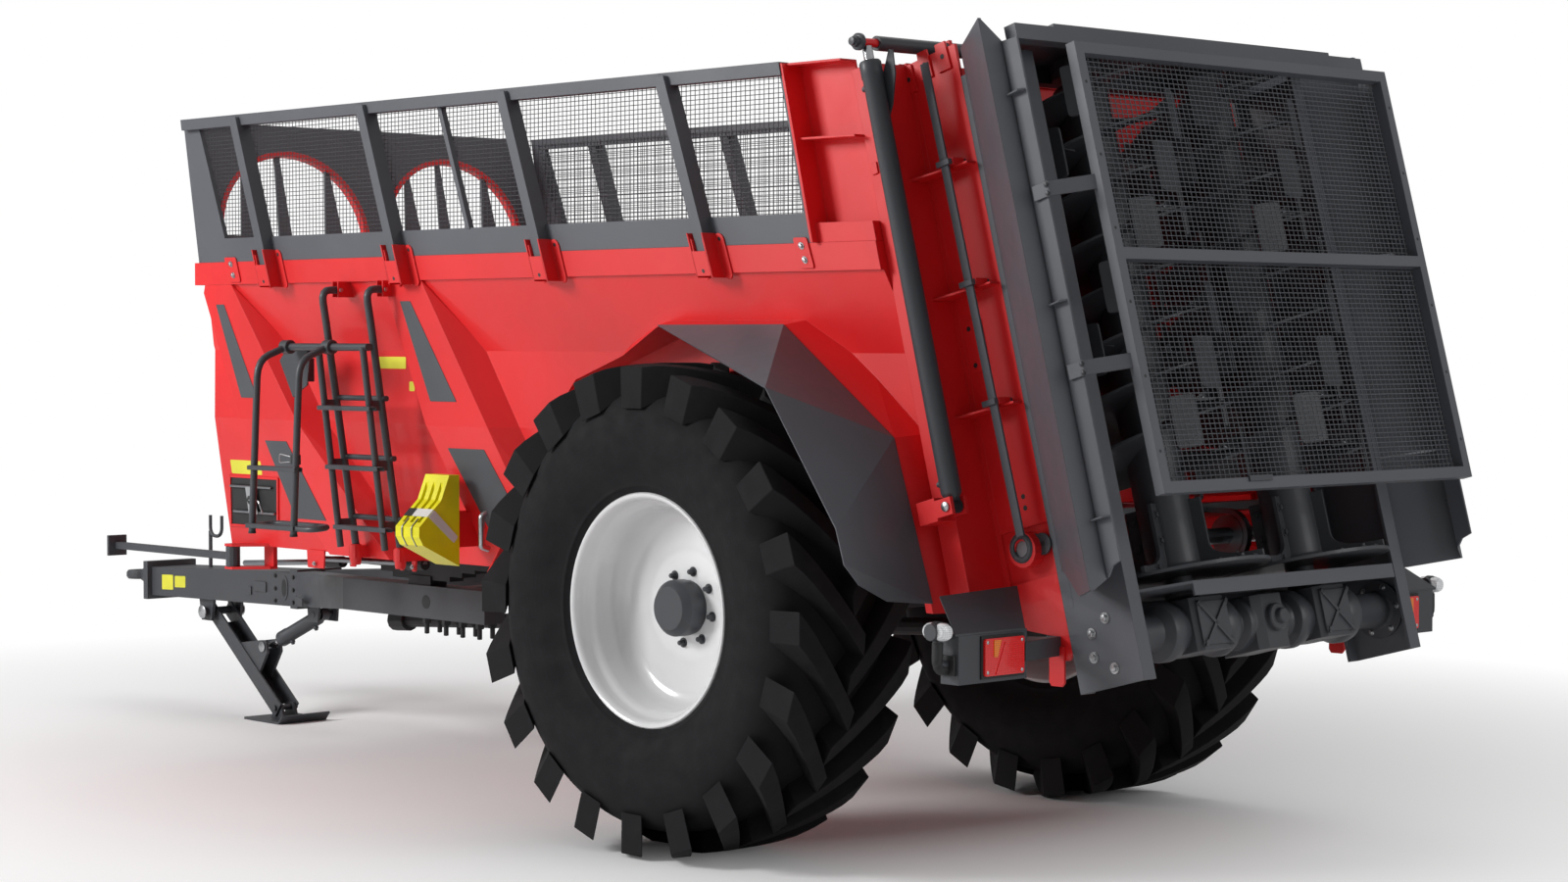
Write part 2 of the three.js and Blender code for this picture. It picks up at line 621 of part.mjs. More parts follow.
function towingEye() {
  const plate = box(HITCH_X + FIT, HITCH_X + 30, -75, 75, EYE_Z - 75, EYE_Z + 75);
  const neck = rod([HITCH_X + 25, 0, EYE_Z], [EYE_TIP_X - 120, 0, EYE_Z], 36, 16);
  const ring = ringAboutZ([[28, -22], [64, -22], [72, -10], [72, 10], [64, 22], [28, 22]], 24);
  return join(plate, neck, ring.translate([EYE_TIP_X - 72, 0, EYE_Z]));
}

function drawbarSpring() {
  const top = DRAWBAR_RAIL_TOP + FIT;
  const pack = [];
  for (let i = 0; i < 4; i += 1) {
    const half = 480 - 90 * i;
    pack.push(box(2480 - half, 2480 + half, RAIL_Y - 38, RAIL_Y + 38, top + 90 - 22 * i,
      top + 112 - 22 * i));
  }
  const saddle = box(2400, 2560, RAIL_Y - 45, RAIL_Y + 45, top, top + 40);
  const ends = [2040, 2920].map((x) => box(x - 60, x + 60, RAIL_Y - 45, RAIL_Y + 45, top + 85,
    CHASSIS_BOTTOM - FIT));
  return join(pack, saddle, ends);
}

// A body modelled along +X from the origin, swung in the XZ plane to run from one point to another.
function swingTo(body, [x0, z0], [x1, z1]) {
  const angle = THREE.MathUtils.radToDeg(Math.atan2(-(z1 - z0), x1 - x0));
  return body.rotate([0, angle, 0]).translate([x0, 0, z0]);
}

const JACK_PIN_R = 20;
const RAM_PIN_R = 15;
const FOOT_PIN_R = 14;
const JACK_W = 110;

function jackLeg() {
  const [px, pz] = JACK_PIVOT;
  const [fx, fz] = JACK_FOOT;
  const length = Math.hypot(fx - px, fz - pz);
  const half = JACK_W / 2;
  const web = box(60, length - 60, -half, half, 28, 40);
  const sides = [-half, half - 10].map((y) => box(-30, length + 22, y, y + 10, -40, 40));
  const leg = swingTo(join(web, sides), JACK_PIVOT, JACK_FOOT);
  const lugs = [-half + 8, half - 22].map((y) => sideOutline([
    [px - 190, pz - 150], [px - 390, pz - 310], [JACK_EYE[0] - 40, JACK_EYE[1] - 25],
    [JACK_EYE[0] - 30, JACK_EYE[1] + 35], [JACK_EYE[0] + 30, JACK_EYE[1] + 30],
  ], y, y + 14));
  const pivotPin = rod([px, -JACK_W, pz], [px, JACK_W, pz], JACK_PIN_R, 12);
  const footPin = rod([fx, -half - 12, fz], [fx, half + 12, fz], FOOT_PIN_R, 12);
  return join(leg, lugs, pivotPin, footPin);
}

function jackFoot() {
  const [fx, fz] = JACK_FOOT;
  const plate = join(box(fx - 150, fx + 150, -140, 140, 0, 12),
    hull([[fx - 150, -140, 1], [fx - 150, 140, 1], [fx - 150, -140, 12], [fx - 150, 140, 12],
      [fx - 185, -140, 40], [fx - 185, 140, 40], [fx - 180, -140, 46], [fx - 180, 140, 46]]));
  const ears = [-44, 30].map((y) => sideOutline([
    [fx - 55, 10], [fx + 55, 10], [fx + 26, fz + 24], [fx - 26, fz + 24]], y, y + 14));
  return cut(join(plate, ears), rod([fx, -80, fz], [fx, 80, fz], boreOver(FOOT_PIN_R, 12), 12));
}

// A hydraulic barrel and its rod, modelled along +X from the barrel's pin. The gland at the
// barrel's mouth guides the rod.
function ramBarrel(length, r, eyeR, bore, rodR) {
  const gland = 40;
  const tube = cut(rod([45, 0, 0], [length, 0, 0], r, 16), rod([70, 0, 0], [length - gland, 0, 0], bore, 16),
    rod([length - gland - 1, 0, 0], [length + 1, 0, 0], boreOver(rodR, 12), 12));
  const lug = box(0, 60, -20, 20, -18, 18);
  const eye = rod([0, -22, 0], [0, 22, 0], eyeR, 16);
  return cut(join(tube, lug, eye), rod([0, -60, 0], [0, 60, 0], boreOver(RAM_PIN_R, 12), 12));
}

function ramRod(from, to, r, eyeR) {
  return join(rod([from, 0, 0], [to, 0, 0], r, 12), rod([to, -22, 0], [to, 22, 0], eyeR, 16));
}

function addJack() {
  place(machine, 'jack_leg', jackLeg(), DARK);
  place(machine, 'jack_foot', jackFoot(), DARK);
  const length = Math.hypot(JACK_EYE[0] - JACK_BASE[0], JACK_EYE[1] - JACK_BASE[1]);
  const inLine = (body) => swingTo(body, JACK_BASE, JACK_EYE);
  place(machine, 'jack_barrel', inLine(ramBarrel(length - 110, RAM_R, 30, 29, RAM_ROD_R)), DARK);
  place(machine, 'jack_rod', inLine(ramRod(length - 290, length, RAM_ROD_R, 28)), STEEL);
}

function addChassis() {
  place(machine, 'hopper_side_left', join(hopperSide(), chockHolder(), barBracket(), ladderBrackets()), RED);
  place(machine, 'hopper_side_right', mirrorY(hopperSide()), RED);
  place(machine, 'hopper_front', hopperFront(), RED);
  place(machine, 'hopper_floor', hopperFloor(), RED);
  place(machine, 'chain_floor', chainFloor(), DARK);
  place(machine, 'chain_shaft', chainShaft(), DARK);
  place(machine, 'chassis_frame', chassis(), RED);
  const holes = [
    rod([JACK_PIVOT[0], -200, JACK_PIVOT[1]], [JACK_PIVOT[0], 200, JACK_PIVOT[1]],
      boreOver(JACK_PIN_R, 12), 12),
  ];
  place(machine, 'drawbar', cut(drawbar(), holes), DARK);
  place(machine, 'towing_eye', towingEye(), DARK);
  placePair(machine, 'drawbar_spring', drawbarSpring(), BLACK);
}

// ---------------------------------------------------------------- sloping rear end

const GATE_MID = POST_REAR + POST_D / 2;
const PLATE_T = 12;
const SHELF_Z = [1010, 1430, 1860];
const PANEL_T = 8;
const PANEL_SHELF_Z = 2590;

// The end post with the ribbed side plate that joins it to the beater unit. A window in the
// plate shows the bearing of the chain shaft.
function endPost() {
  const [plateIn, seam] = [COLUMN_HALF - PLATE_T, POST_REAR + 3];
  const low = 360;
  const post = box(POST_REAR, POST_REAR + POST_D, COLUMN_HALF, POST_HALF, low, POST_TOP);
  const hollow = box(POST_REAR + 10, POST_REAR + POST_D - 10, COLUMN_HALF + 10, POST_HALF - 10,
    low - 10, POST_TOP - 12);
  const corner = box(POST_REAR - 20, seam, plateIn, COLUMN_HALF + 1, 330, POST_TOP);
  const upper = box(FIT, POST_REAR, plateIn, COLUMN_HALF, 595, POST_TOP);
  const lower = sideOutline([[FIT, 415], [POST_REAR, 415], [POST_REAR, 330], [POST_REAR - 5, 273], [74, 215],
    [95, 133], [22, 120], [FIT, 140]], plateIn, COLUMN_HALF);
  const web = box(FIT, POST_REAR, plateIn - PLATE_T, plateIn + 1, 400, 610);
  const shelves = SHELF_Z.map((z) => planOutline([
    [8, COLUMN_HALF - 1], [POST_REAR + 1, COLUMN_HALF - 1], [POST_REAR + 1, COLUMN_HALF + 95],
      [40, COLUMN_HALF + 45],
    [8, COLUMN_HALF + 45],
  ], z, z + 8));
  const [shaftX, shaftZ] = deckLocal(SHAFT_X, SHAFT_Z);
  const bearing = rod([shaftX, plateIn, shaftZ], [shaftX, COLUMN_HALF + 40, shaftZ], 62, 16);
  const ramLug = [RAM_Y - 40, RAM_Y + 26].map((y) => box(RAM_X - 26, POST_REAR + 60, y, y + 14,
    RAM_LOW - 30, RAM_LOW + 30));
  const lugPin = rod([RAM_X, RAM_Y - 40, RAM_LOW], [RAM_X, RAM_Y + 40, RAM_LOW], RAM_PIN_R, 12);
  const lugBase = box(POST_REAR + 4, POST_REAR + POST_D, POST_HALF - 5, RAM_Y + 40, RAM_LOW - 40,
    RAM_LOW + 40);
  const bore = rod([shaftX, INNER_HALF, shaftZ], [shaftX, POST_HALF, shaftZ], boreOver(SHAFT_R, 16), 16);
  return cut(join(cut(post, hollow), corner, upper, lower, web, shelves, bearing, ramLug, lugPin,
    lugBase), bore);
}

// Machine coordinates to deck coordinates.
function deckLocal(x, z) {
  const c = Math.cos(DECK_TILT);
  const s = Math.sin(DECK_TILT);
  const [dx, dz] = [x - DECK_X, z - DECK_Z];
  return [dx * c - dz * s, dx * s + dz * c];
}

// Red panel above the rail, between the mesh extension and the end post.
function upperPanel() {
  const [yIn, yOut] = [EXT_HALF - 105, EXT_HALF - 5];
  const postFront = (z) => deckPoint(POST_REAR + POST_D + FIT,
    deckHeight(POST_REAR + POST_D, z) + 0.08 * FIT)[0];
  const band = (z0, z1, y0, y1) => sideOutline([[postFront(z0) + 1, z0], [postFront(z1) + 1, z1],
    [extRearX(z1) - FIT, z1], [extRearX(z0) - FIT, z0]], y0, y1);
  const top = EXT_TOP - 5;
  const sheet = band(EXT_BOTTOM, top, yIn, yIn + PANEL_T);
  const flange = sideOutline([[extRearX(EXT_BOTTOM) - FIT - 12, EXT_BOTTOM], [extRearX(top) - FIT - 12, top],
    [extRearX(top) - FIT, top], [extRearX(EXT_BOTTOM) - FIT, EXT_BOTTOM]], yIn, yOut);
  const shelves = [top - 8, PANEL_SHELF_Z].map((z) => band(z, z + 8, yIn, yOut - 20));
  const sill = band(EXT_BOTTOM, EXT_BOTTOM + 70, yIn, RAIL_HALF - 5);
  return join(sheet, flange, shelves, sill);
}

function gate() {
  const x0 = GATE_MID - GATE_T / 2;
  const low = deckHeight(x0 + GATE_T, FLOOR_TOP + 45);
  const sheet = box(x0 + 14, x0 + 26, -COLUMN_HALF + GATE_CLEAR, COLUMN_HALF - GATE_CLEAR, low,
    POST_TOP + 20);
  const ribs = [low, 1250, 1700, POST_TOP - 30].map((z) =>
    box(x0, x0 + GATE_T, -COLUMN_HALF + GATE_CLEAR + 20, COLUMN_HALF - GATE_CLEAR - 20, z, z + 50));
  const beamX = RAM_X;
  const beam = rod([beamX, -RAM_Y - 45, RAM_HIGH], [beamX, RAM_Y + 45, RAM_HIGH], RAM_PIN_R, 12);
  const hangers = [-600, 600].map((y) => sideOutline([
    [beamX - 25, RAM_HIGH - 25], [beamX - 25, RAM_HIGH + 28], [x0 + GATE_T, RAM_HIGH + 28],
      [x0 + GATE_T, POST_TOP - 20],
    [x0 + 2, POST_TOP - 20], [x0 + 2, RAM_HIGH - 25],
  ], y - 8, y + 8));
  return join(sheet, ribs, beam, hangers);
}

function addGate() {
  place(deck, 'gate', gate(), RED);
  const length = RAM_HIGH - RAM_LOW;
  const upright = (body) => body.rotate([0, -90, 0]).translate([RAM_X, RAM_Y, RAM_LOW]);
  placePair(deck, 'gate_barrel', upright(ramBarrel(length - 70, RAM_R, 24, 27, RAM_ROD_R)), DARK);
  const gateRod = cut(ramRod(length - GATE_TRAVEL - 250, length, RAM_ROD_R, 24),
    rod([length, -60, 0], [length, 60, 0], boreOver(RAM_PIN_R, 12), 12));
  placePair(deck, 'gate_rod', upright(gateRod), STEEL);
}

// Rear edge of the flared deflector, where the guard's arms are fixed: deck x and y.
const FLARE_LIP = [-460, COLUMN_HALF + 210];

// Folded side column of the beater unit with its flared deflector.
function column() {
  const yIn = COLUMN_HALF - PLATE_T;
  const channel = planOutline([
    [0, yIn - 50], [0, COLUMN_HALF], [-COLUMN_D, COLUMN_HALF], [-COLUMN_D, yIn - 50],
      [-COLUMN_D + PLATE_T, yIn - 50],
    [-COLUMN_D + PLATE_T, yIn], [-PLATE_T, yIn], [-PLATE_T, yIn - 50],
  ], 0, COLUMN_H);
  const flare = planOutline([
    [-24, COLUMN_HALF - 4], [-24, COLUMN_HALF + 2], [-360, COLUMN_HALF + 268], [-390, COLUMN_HALF + 206],
    FLARE_LIP, [-460, COLUMN_HALF + 202], [-395, COLUMN_HALF + 197], [-362, COLUMN_HALF + 255],
    [-40, COLUMN_HALF - 4],
  ], 290, 2280);
  const beyond = COLUMN_HALF + 325;
  const topCut = sideOutline([
    [20, 2268], [-360, 2237], [-390, 2150], [-480, 2140], [-480, 2400], [20, 2400],
  ], COLUMN_HALF - 75, beyond);
  const lowCut = sideOutline([
    [0, 425], [-40, 417], [-200, 305], [-365, 300], [-420, 364], [-480, 380], [-480, 200], [0, 200],
  ], COLUMN_HALF + 0.5, beyond);
  const gussets = [1960, 1240, 520].map((z) => planOutline([
    [-380, COLUMN_HALF + 200], [-458, COLUMN_HALF + 203], [-440, COLUMN_HALF + 235],
      [-378, COLUMN_HALF + 225],
  ], z, z + 6));
  const stays = [700, 1450].map((z) => planOutline([
    [-COLUMN_D + 1, COLUMN_HALF - PLATE_T], [-COLUMN_D + 1, COLUMN_HALF], [-385, COLUMN_HALF + 203],
    [-396, COLUMN_HALF + 198]], z, z + 8));
  return join(channel, cut(flare, topCut, lowCut), gussets, stays);
}

function topBeam() {
  const y = COLUMN_HALF - PLATE_T - FIT;
  const z = 2200;
  const fore = -PLATE_T - FIT;
  const roof = box(-440, fore, -y, y, z, z + 10);
  const front = box(-52, fore, -y, y, z - 50, z + 5);
  const rear = box(-440, -390, -y - 195, y + 195, z - 55, z - 1);
  const rearLink = box(-440, -390, -y, y, z - 5, z + 5);
  const caps = [1, -1].map((side) => rod([BEATER_X, side * BEATER_Y, z - 60],
    [BEATER_X, side * BEATER_Y, z + 85], 90, 20));
  const bores = [1, -1].map((side) => rod([BEATER_X, side * BEATER_Y, z - 61],
    [BEATER_X, side * BEATER_Y, z + 60], 38, 16));
  return cut(join(roof, front, rear, rearLink, caps), bores);
}

// Floor of the beater unit, with a folded rim that is cut back at the corners.
const PAN_Z = 290;
function beaterPan() {
  const y = COLUMN_HALF - PLATE_T - FIT;
  const z = PAN_Z;
  const rear = -390;
  const [foreIn, rearIn] = [-PLATE_T - 2, -COLUMN_D + PLATE_T + 2];
  const plan = [[-2, -y + 52], [-2, y - 52], [foreIn, y - 52], [foreIn, y], [rearIn, y], [rearIn, y - 52],
    [rear, 560], [rear, -560], [rearIn, -y + 52], [rearIn, -y], [foreIn, -y], [foreIn, -y + 52]];
  const plate = planOutline(plan, z, z + 10);
  const rim = bar([rear + 4, -560, z - 15], [rear + 4, 560, z - 15], 8, 50);
  const fore = box(-20, -2, -y + 52, y - 52, z - 60, z + 5);
  const bores = [1, -1].map((side) => rod([BEATER_X, side * BEATER_Y, z - 80],
    [BEATER_X, side * BEATER_Y, z + 50], 60, 16));
  return cut(join(plate, rim, fore), bores);
}

// Gearboxes across the foot of the beater unit, with their housings in line.
const GEAR_Z = 165;
const GEAR_INPUT_X = BEATER_X + 120;

function gearboxes() {
  const z = GEAR_Z;
  const y = COLUMN_HALF - PLATE_T - FIT;
  const tube = rod([BEATER_X, -y, z], [BEATER_X, y, z], 62, 16);
  const boxes = [1, -1].map((side) => join(
    box(BEATER_X - 128, BEATER_X + 90, side * BEATER_Y - 95, side * BEATER_Y + 95, z - 95, z + 100),
    rod([BEATER_X, side * BEATER_Y - 125, z], [BEATER_X, side * BEATER_Y + 125, z], 100, 16),
    rod([BEATER_X, side * BEATER_Y, z], [BEATER_X, side * BEATER_Y, PAN_Z - FIT], 78, 16)));
  const middle = join(box(BEATER_X - 110, BEATER_X + 90, -90, 90, z - 110, z + 90),
    rod([BEATER_X - 145, 0, z], [BEATER_X, 0, z], 42, 12),
      rod([BEATER_X, 0, z], [GEAR_INPUT_X, 0, z], 34, 12));
  const flanges = [1, -1].map((side) => rod([BEATER_X, side * (y - 18), z], [BEATER_X, side * y, z],
    105, 16));
  const shafts = [1, -1].map((side) =>
    rod([BEATER_X, side * BEATER_Y, z], [BEATER_X, side * BEATER_Y, BEATER_BOTTOM - FIT], 50, 12));
  return join(tube, boxes, middle, flanges, shafts);
}

// A helical flight as a closed band around the tube.
function flight(z0, z1, r0, r1, turns) {
  const steps = Math.round(turns * 10);
  const positions = [];
  for (let i = 0; i <= steps; i += 1) {
    const a = (i / steps) * turns * 2 * Math.PI;
    const z = z0 + (i / steps) * (z1 - z0 - FLIGHT_T);
    for (const [r, dz] of [[r0, 0], [r0, FLIGHT_T], [r1, FLIGHT_T], [r1, 0]]) {
      positions.push(r * Math.cos(a), r * Math.sin(a), z + dz);
    }
  }
  return solid(loft(positions, steps + 1, 4));
}

// Lower paddle: wide over the disc, narrow beside the end of the chain floor.
function paddle() {
  const shape = new THREE.Shape();
  const low = BEATER_BOTTOM + 5;
  shape.moveTo(BEATER_TUBE_R - 10, low);
  shape.lineTo(BEATER_R - 5, low);
  shape.lineTo(BEATER_R - 5, low + 30);
  shape.quadraticCurveTo(PADDLE_TOP_R, low + 30, PADDLE_TOP_R, low + 90);
  shape.lineTo(PADDLE_TOP_R, low + PADDLE_H);
  shape.lineTo(BEATER_TUBE_R - 10, low + PADDLE_H);
  return extrudeAlongY(shape, -8, 8, 4);
}

// Foot of a beater: the disc with its paddles and the tube as far as the spiral.
function beaterFan() {
  const tube = rod([0, 0, BEATER_BOTTOM], [0, 0, SPIRAL_BOTTOM - FIT], BEATER_TUBE_R, 12);
  const disc = rod([0, 0, BEATER_BOTTOM], [0, 0, BEATER_BOTTOM + 14], BEATER_R, 24);
  const paddles = [0, 1, 2, 3].map((i) => paddle().rotate([0, 0, 90 * i + 20]));
  return join(tube, disc, paddles).translate([BEATER_X, 0, 0]);
}

// The rest of a beater: its tube with two spiral flights and the knives along their edges.
function beaterSpiral() {
  const tube = rod([0, 0, SPIRAL_BOTTOM], [0, 0, BEATER_TOP - 40], BEATER_TUBE_R, 12);
  const journal = rod([0, 0, BEATER_TOP - 45], [0, 0, 2255], 36, 12);
  const [z0, z1] = [SPIRAL_BOTTOM, BEATER_TOP - 60];
  const start = [flight(z0, z1, BEATER_TUBE_R - 8, BEATER_R - 20, SPIRAL_TURNS)];
  for (let i = 0; i < KNIVES; i += 1) {
    const f = (i + 0.5) / KNIVES;
    const z = z0 + f * (z1 - z0 - FLIGHT_T);
    const knife = box(BEATER_R - 90, BEATER_R, -40, 40, z - 16, z + 30);
    start.push(knife.rotate([0, 0, f * SPIRAL_TURNS * 360]));
  }
  const spirals = [0, 180].flatMap((turn) => start.map((body) => body.rotate([0, 0, turn])));
  return join(tube, journal, spirals).translate([BEATER_X, 0, 0]);
}

function addBeaters() {
  placePair(deck, 'beater_column', column(), GREY);
  place(deck, 'beater_top_beam', topBeam(), GREY);
  place(deck, 'beater_pan', beaterPan(), GREY);
  place(deck, 'beater_gearboxes', gearboxes(), DARK);
  // Both spirals rise the same way round.
  for (const [side, y] of [['left', BEATER_Y], ['right', -BEATER_Y]]) {
    place(deck, `beater_fan_${side}`, beaterFan().translate([0, y, 0]), DARK);
    place(deck, `beater_${side}`, beaterSpiral().translate([0, y, 0]), DARK);
  }
}

// Framed mesh behind the beaters, on two arms each side.
function guardFrame() {
  const h = GUARD_BAR / 2;
  const post = (y) => box(GUARD_X - h, GUARD_X + h, y - h, y + h, GUARD_LO, GUARD_HI);
  const rail = (z) => box(GUARD_X - h, GUARD_X + h, -GUARD_HALF + h, GUARD_HALF - h, z, z + GUARD_BAR);
  const lip = FLARE_LIP[1] + FIT;
  const arm = (z) => planOutline([[GUARD_X + 5, GUARD_HALF - 17], [FLARE_LIP[0] - 9, lip],
    [FLARE_LIP[0] + 55, lip], [FLARE_LIP[0] + 55, lip + 8], [FLARE_LIP[0] - 14, lip + 8],
    [GUARD_X + 5, GUARD_HALF - 2]], z - 25, z + 25);
  const arms = [1010, 1615].flatMap((z) => [arm(z), mirrorY(arm(z))]);
  return join(post(GUARD_HALF - h), post(-GUARD_HALF + h), rail(GUARD_LO), rail(GUARD_HI - GUARD_BAR),
    rail((GUARD_LO + GUARD_HI) / 2 + 20), arms);
}

function guardMesh() {
  const x = GUARD_X + GUARD_BAR / 2 + FIT;
  return box(x, x + MESH_T, -GUARD_HALF + 12, GUARD_HALF - 12, GUARD_LO + 15, GUARD_HI - 15);
}

// ---------------------------------------------------------------- extensions and front screen

function extensionFrame() {
  const yIn = EXT_HALF - 50;
  const tube = 48;
  const top = sideOutline([[extRearX(EXT_TOP - tube), EXT_TOP - tube], [extRearX(EXT_TOP), EXT_TOP],
    [extFrontX(EXT_TOP) - 60, EXT_TOP], [extFrontX(EXT_TOP - tube) - 60, EXT_TOP - tube]], yIn, EXT_HALF);
  const z1 = EXT_BOTTOM + EXT_BOARD_H;
  const board = sideOutline([[extRearX(EXT_BOTTOM), EXT_BOTTOM], [extRearX(z1), z1],
    [extFrontX(z1) - 60, z1],
    [extFrontX(EXT_BOTTOM) - 60, EXT_BOTTOM]], yIn, yIn + 20);
  const front = sideOutline([[extFrontX(EXT_BOTTOM) - 60, EXT_BOTTOM], [extFrontX(EXT_TOP) - 60, EXT_TOP],
    [extFrontX(EXT_TOP) - 150, EXT_TOP], [extFrontX(EXT_BOTTOM) - 290, EXT_BOTTOM]], yIn, yIn + 20);
  const rear = sideOutline([[extRearX(EXT_BOTTOM), EXT_BOTTOM], [extRearX(EXT_TOP), EXT_TOP],
    [extRearX(EXT_TOP) + 35, EXT_TOP], [extRearX(EXT_BOTTOM) + 35, EXT_BOTTOM]], yIn, yIn + 20);
  const stanchions = STANCHION_X.map((x) => leaning(x - STANCHION_W / 2, x + STANCHION_W / 2,
    RAIL_HALF - 15, RAIL_HALF + 50, EXT_BOTTOM - 65, EXT_TOP - STANCHION_TOP_GAP));
  const joint = sideOutline([[1400, z1 - 5], [1425, z1 - 5], [1625, EXT_TOP - 20], [1600, EXT_TOP - 20]],
    yIn, yIn + 24);
  const railRoom = box(-3000, 5000, 0, RAIL_HALF + FIT, RAIL_TOP - 300, EXT_BOTTOM);
  return join(top, board, front, rear, ...stanchions.map((s) => cut(s, railRoom)), joint);
}

function extensionMesh() {
  const y = EXT_HALF - 50 - FIT;
  const inset = 25;
  const [low, high] = [EXT_BOTTOM + 60, EXT_TOP - inset];
  return sideOutline([[extRearX(low) + 12, low], [extRearX(high) + 12, high], [extFrontX(high) - 110, high],
    [extFrontX(low) - 220, low]], y - MESH_T, y);
}

// Leaning front screen with two arched look-through windows.
function frontScreen() {
  const half = EXT_HALF - 50 - FIT;
  const lean = [[extFrontX(EXT_BOTTOM) - 34, EXT_BOTTOM], [extFrontX(EXT_BOTTOM) - 4, EXT_BOTTOM],
    [extFrontX(EXT_TOP) - 4, EXT_TOP], [extFrontX(EXT_TOP) - 34, EXT_TOP]];
  const plate = sideOutline(lean, -half, half);
  const windows = [1, -1].map((side) => {
    const shape = new THREE.Shape();
    const w = 400;
    shape.moveTo(-w, 0);
    shape.lineTo(w, 0);
    shape.absellipse(0, 0, w, 380, 0, Math.PI, false, 0);
    return extrudeAlongX(shape, 3000, 4200, 16).translate([0, side * 460, EXT_BOTTOM + 130]);
  });
  return cut(plate, windows);
}

// ---------------------------------------------------------------- fenders

// A thin sheet over triangles of shared corners, thickened away from the tyre.
function fender() {
  const a = [[250, 1000, ARCH_TOP + 8], [-440, 1000, ARCH_TOP + 8], [-996, 1000, 1546], [-1183, 1000, 985]];
  const b = [[-710, 1340, 1720], [-1060, 1340, 1250], [-1100, 1340, 1130], [-1120, 1290, 1060],
    [-1145, 1180, 1000]];
  const p = [...a, ...b];
  const faces = [[0, 1, 4], [1, 2, 4], [2, 5, 4], [2, 3, 5], [3, 6, 5], [3, 7, 6], [3, 8, 7]];
  const sheet = sheetOf(p, faces, 6);
  return sheet.translate([0, RAIL_HALF + FIT - sheet.boundingBox().min[1], 0]);
}

function sheetOf(points, faces, thickness) {
  const normals = points.map(() => new THREE.Vector3());
  for (const [i, j, k] of faces) {
    const [u, v, w] = [i, j, k].map((n) => new THREE.Vector3(...points[n]));
    const n = v.sub(u).cross(w.sub(u)).normalize();
    for (const m of [i, j, k]) normals[m].add(n);
  }
  const far = points.map((q, i) => new THREE.Vector3(...q).add(normals[i].normalize().multiplyScalar(thickness)));
  const count = points.length;
  const index = [];
  const edges = new Map();
  for (const [i, j, k] of faces) {
    index.push(i, k, j, i + count, j + count, k + count);
    for (const [m, n] of [[i, j], [j, k], [k, i]]) edges.set(`${m},${n}`, [m, n]);
  }
  for (const [m, n] of edges.values()) {
    if (!edges.has(`${n},${m}`)) index.push(m, n, n + count, m, n + count, m + count);
  }
  const geometry = new THREE.BufferGeometry();
  const flat = [...points.flat(), ...far.flatMap((v) => v.toArray())];
  geometry.setAttribute('position', new THREE.BufferAttribute(new Float32Array(flat), 3));
  geometry.setIndex(index);
  return solid(geometry);
}

// ---------------------------------------------------------------- ladder, chock and small parts

const LADDER_X = 1960;
const LADDER_W = 320;
const LADDER_TUBE_R = 16;
const LADDER_TOP = [1115, 2090];     // y and z of the upper bend
const LADDER_FOOT = [945, 1010];
const LADDER_KNEE = 1950;            // height of the tubes' lower bend
const LADDER_STEP = [78, 42];        // how far the front rungs stand outward and below
const LADDER_BAR = [1117, 1850];     // y and z of the bar that carries the folding section
const FOLD_X = 2220;
const FOLD_W = 310;

// y of the fixed ladder's inner tubes at a given height.
const ladderY = (z) => LADDER_FOOT[0]
  + (LADDER_TOP[0] - 25 - LADDER_FOOT[0]) * (z - LADDER_FOOT[1]) / (LADDER_KNEE - LADDER_FOOT[1]);

// Two pairs of tubes, one behind the other, joined by steps and the folding section's bar.
function ladderFixed() {
  const r = LADDER_TUBE_R;
  const [y0, z0] = LADDER_TOP;
  const [out, down] = LADDER_STEP;
  const tubes = [LADDER_X, LADDER_X + LADDER_W].flatMap((x) => [
    bentTube([[x, RAIL_HALF + 20, z0], [x, y0, z0], [x, ladderY(LADDER_KNEE), LADDER_KNEE],
      [x, ...LADDER_FOOT]],
      r, 50, 6),
    rod([x - r, RAIL_HALF + 30, z0], [x + r, RAIL_HALF + 30, z0], 10, 8),
    rod([x, ladderY(LADDER_BAR[1]) + out - 22, LADDER_BAR[1]],
      [x, LADDER_FOOT[0] + out, LADDER_FOOT[1]], r - 2, 6),
  ]);
  const steps = [1595, 1345, 1090].flatMap((z) => {
    const y = ladderY(z) + out;
    return [box(LADDER_X - 45, LADDER_X + LADDER_W + 10, y - 20, y + 20, z - 9, z + 9),
      rod([LADDER_X, y - out, z + down], [LADDER_X + LADDER_W, y - out, z + down], 13, 6),
      ...[0, LADDER_W].map((dx) => box(LADDER_X + dx - 7, LADDER_X + dx + 7, y - out, y, z - 9,
        z + down - 5))];
  });
  const bar = rod([LADDER_X - 20, ...LADDER_BAR], [FOLD_X + FOLD_W + 45, ...LADDER_BAR], FOLD_PIN_R, 12);
  const clips = [LADDER_X, LADDER_X + LADDER_W].map((x) =>
    box(x - 7, x + 7, ladderY(LADDER_BAR[1]), LADDER_BAR[0], LADDER_BAR[1] - 14, LADDER_BAR[1] + 14));
  return join(tubes, steps, bar, clips);
}

// Cheeks under the rail and sockets on the skirt that hold the fixed ladder.
function ladderBrackets() {
  const gap = LADDER_TUBE_R + FIT;
  return [LADDER_X, LADDER_X + LADDER_W].flatMap((x) => [
    box(x - gap - 8, x - gap, RAIL_HALF - 40, RAIL_HALF + 45, LADDER_TOP[1] - 30, RAIL_TOP - RAIL_H + 1),
    box(x + gap, x + gap + 8, RAIL_HALF - 40, RAIL_HALF + 45, LADDER_TOP[1] - 30, RAIL_TOP - RAIL_H + 1),
    box(x - 22, x + 22, SKIRT_HALF - 20, LADDER_FOOT[0] + 20, SKIRT_BOTTOM + 5, LADDER_FOOT[1] - 4 - FIT),
  ]);
}

const FOLD_PIN_R = 16;

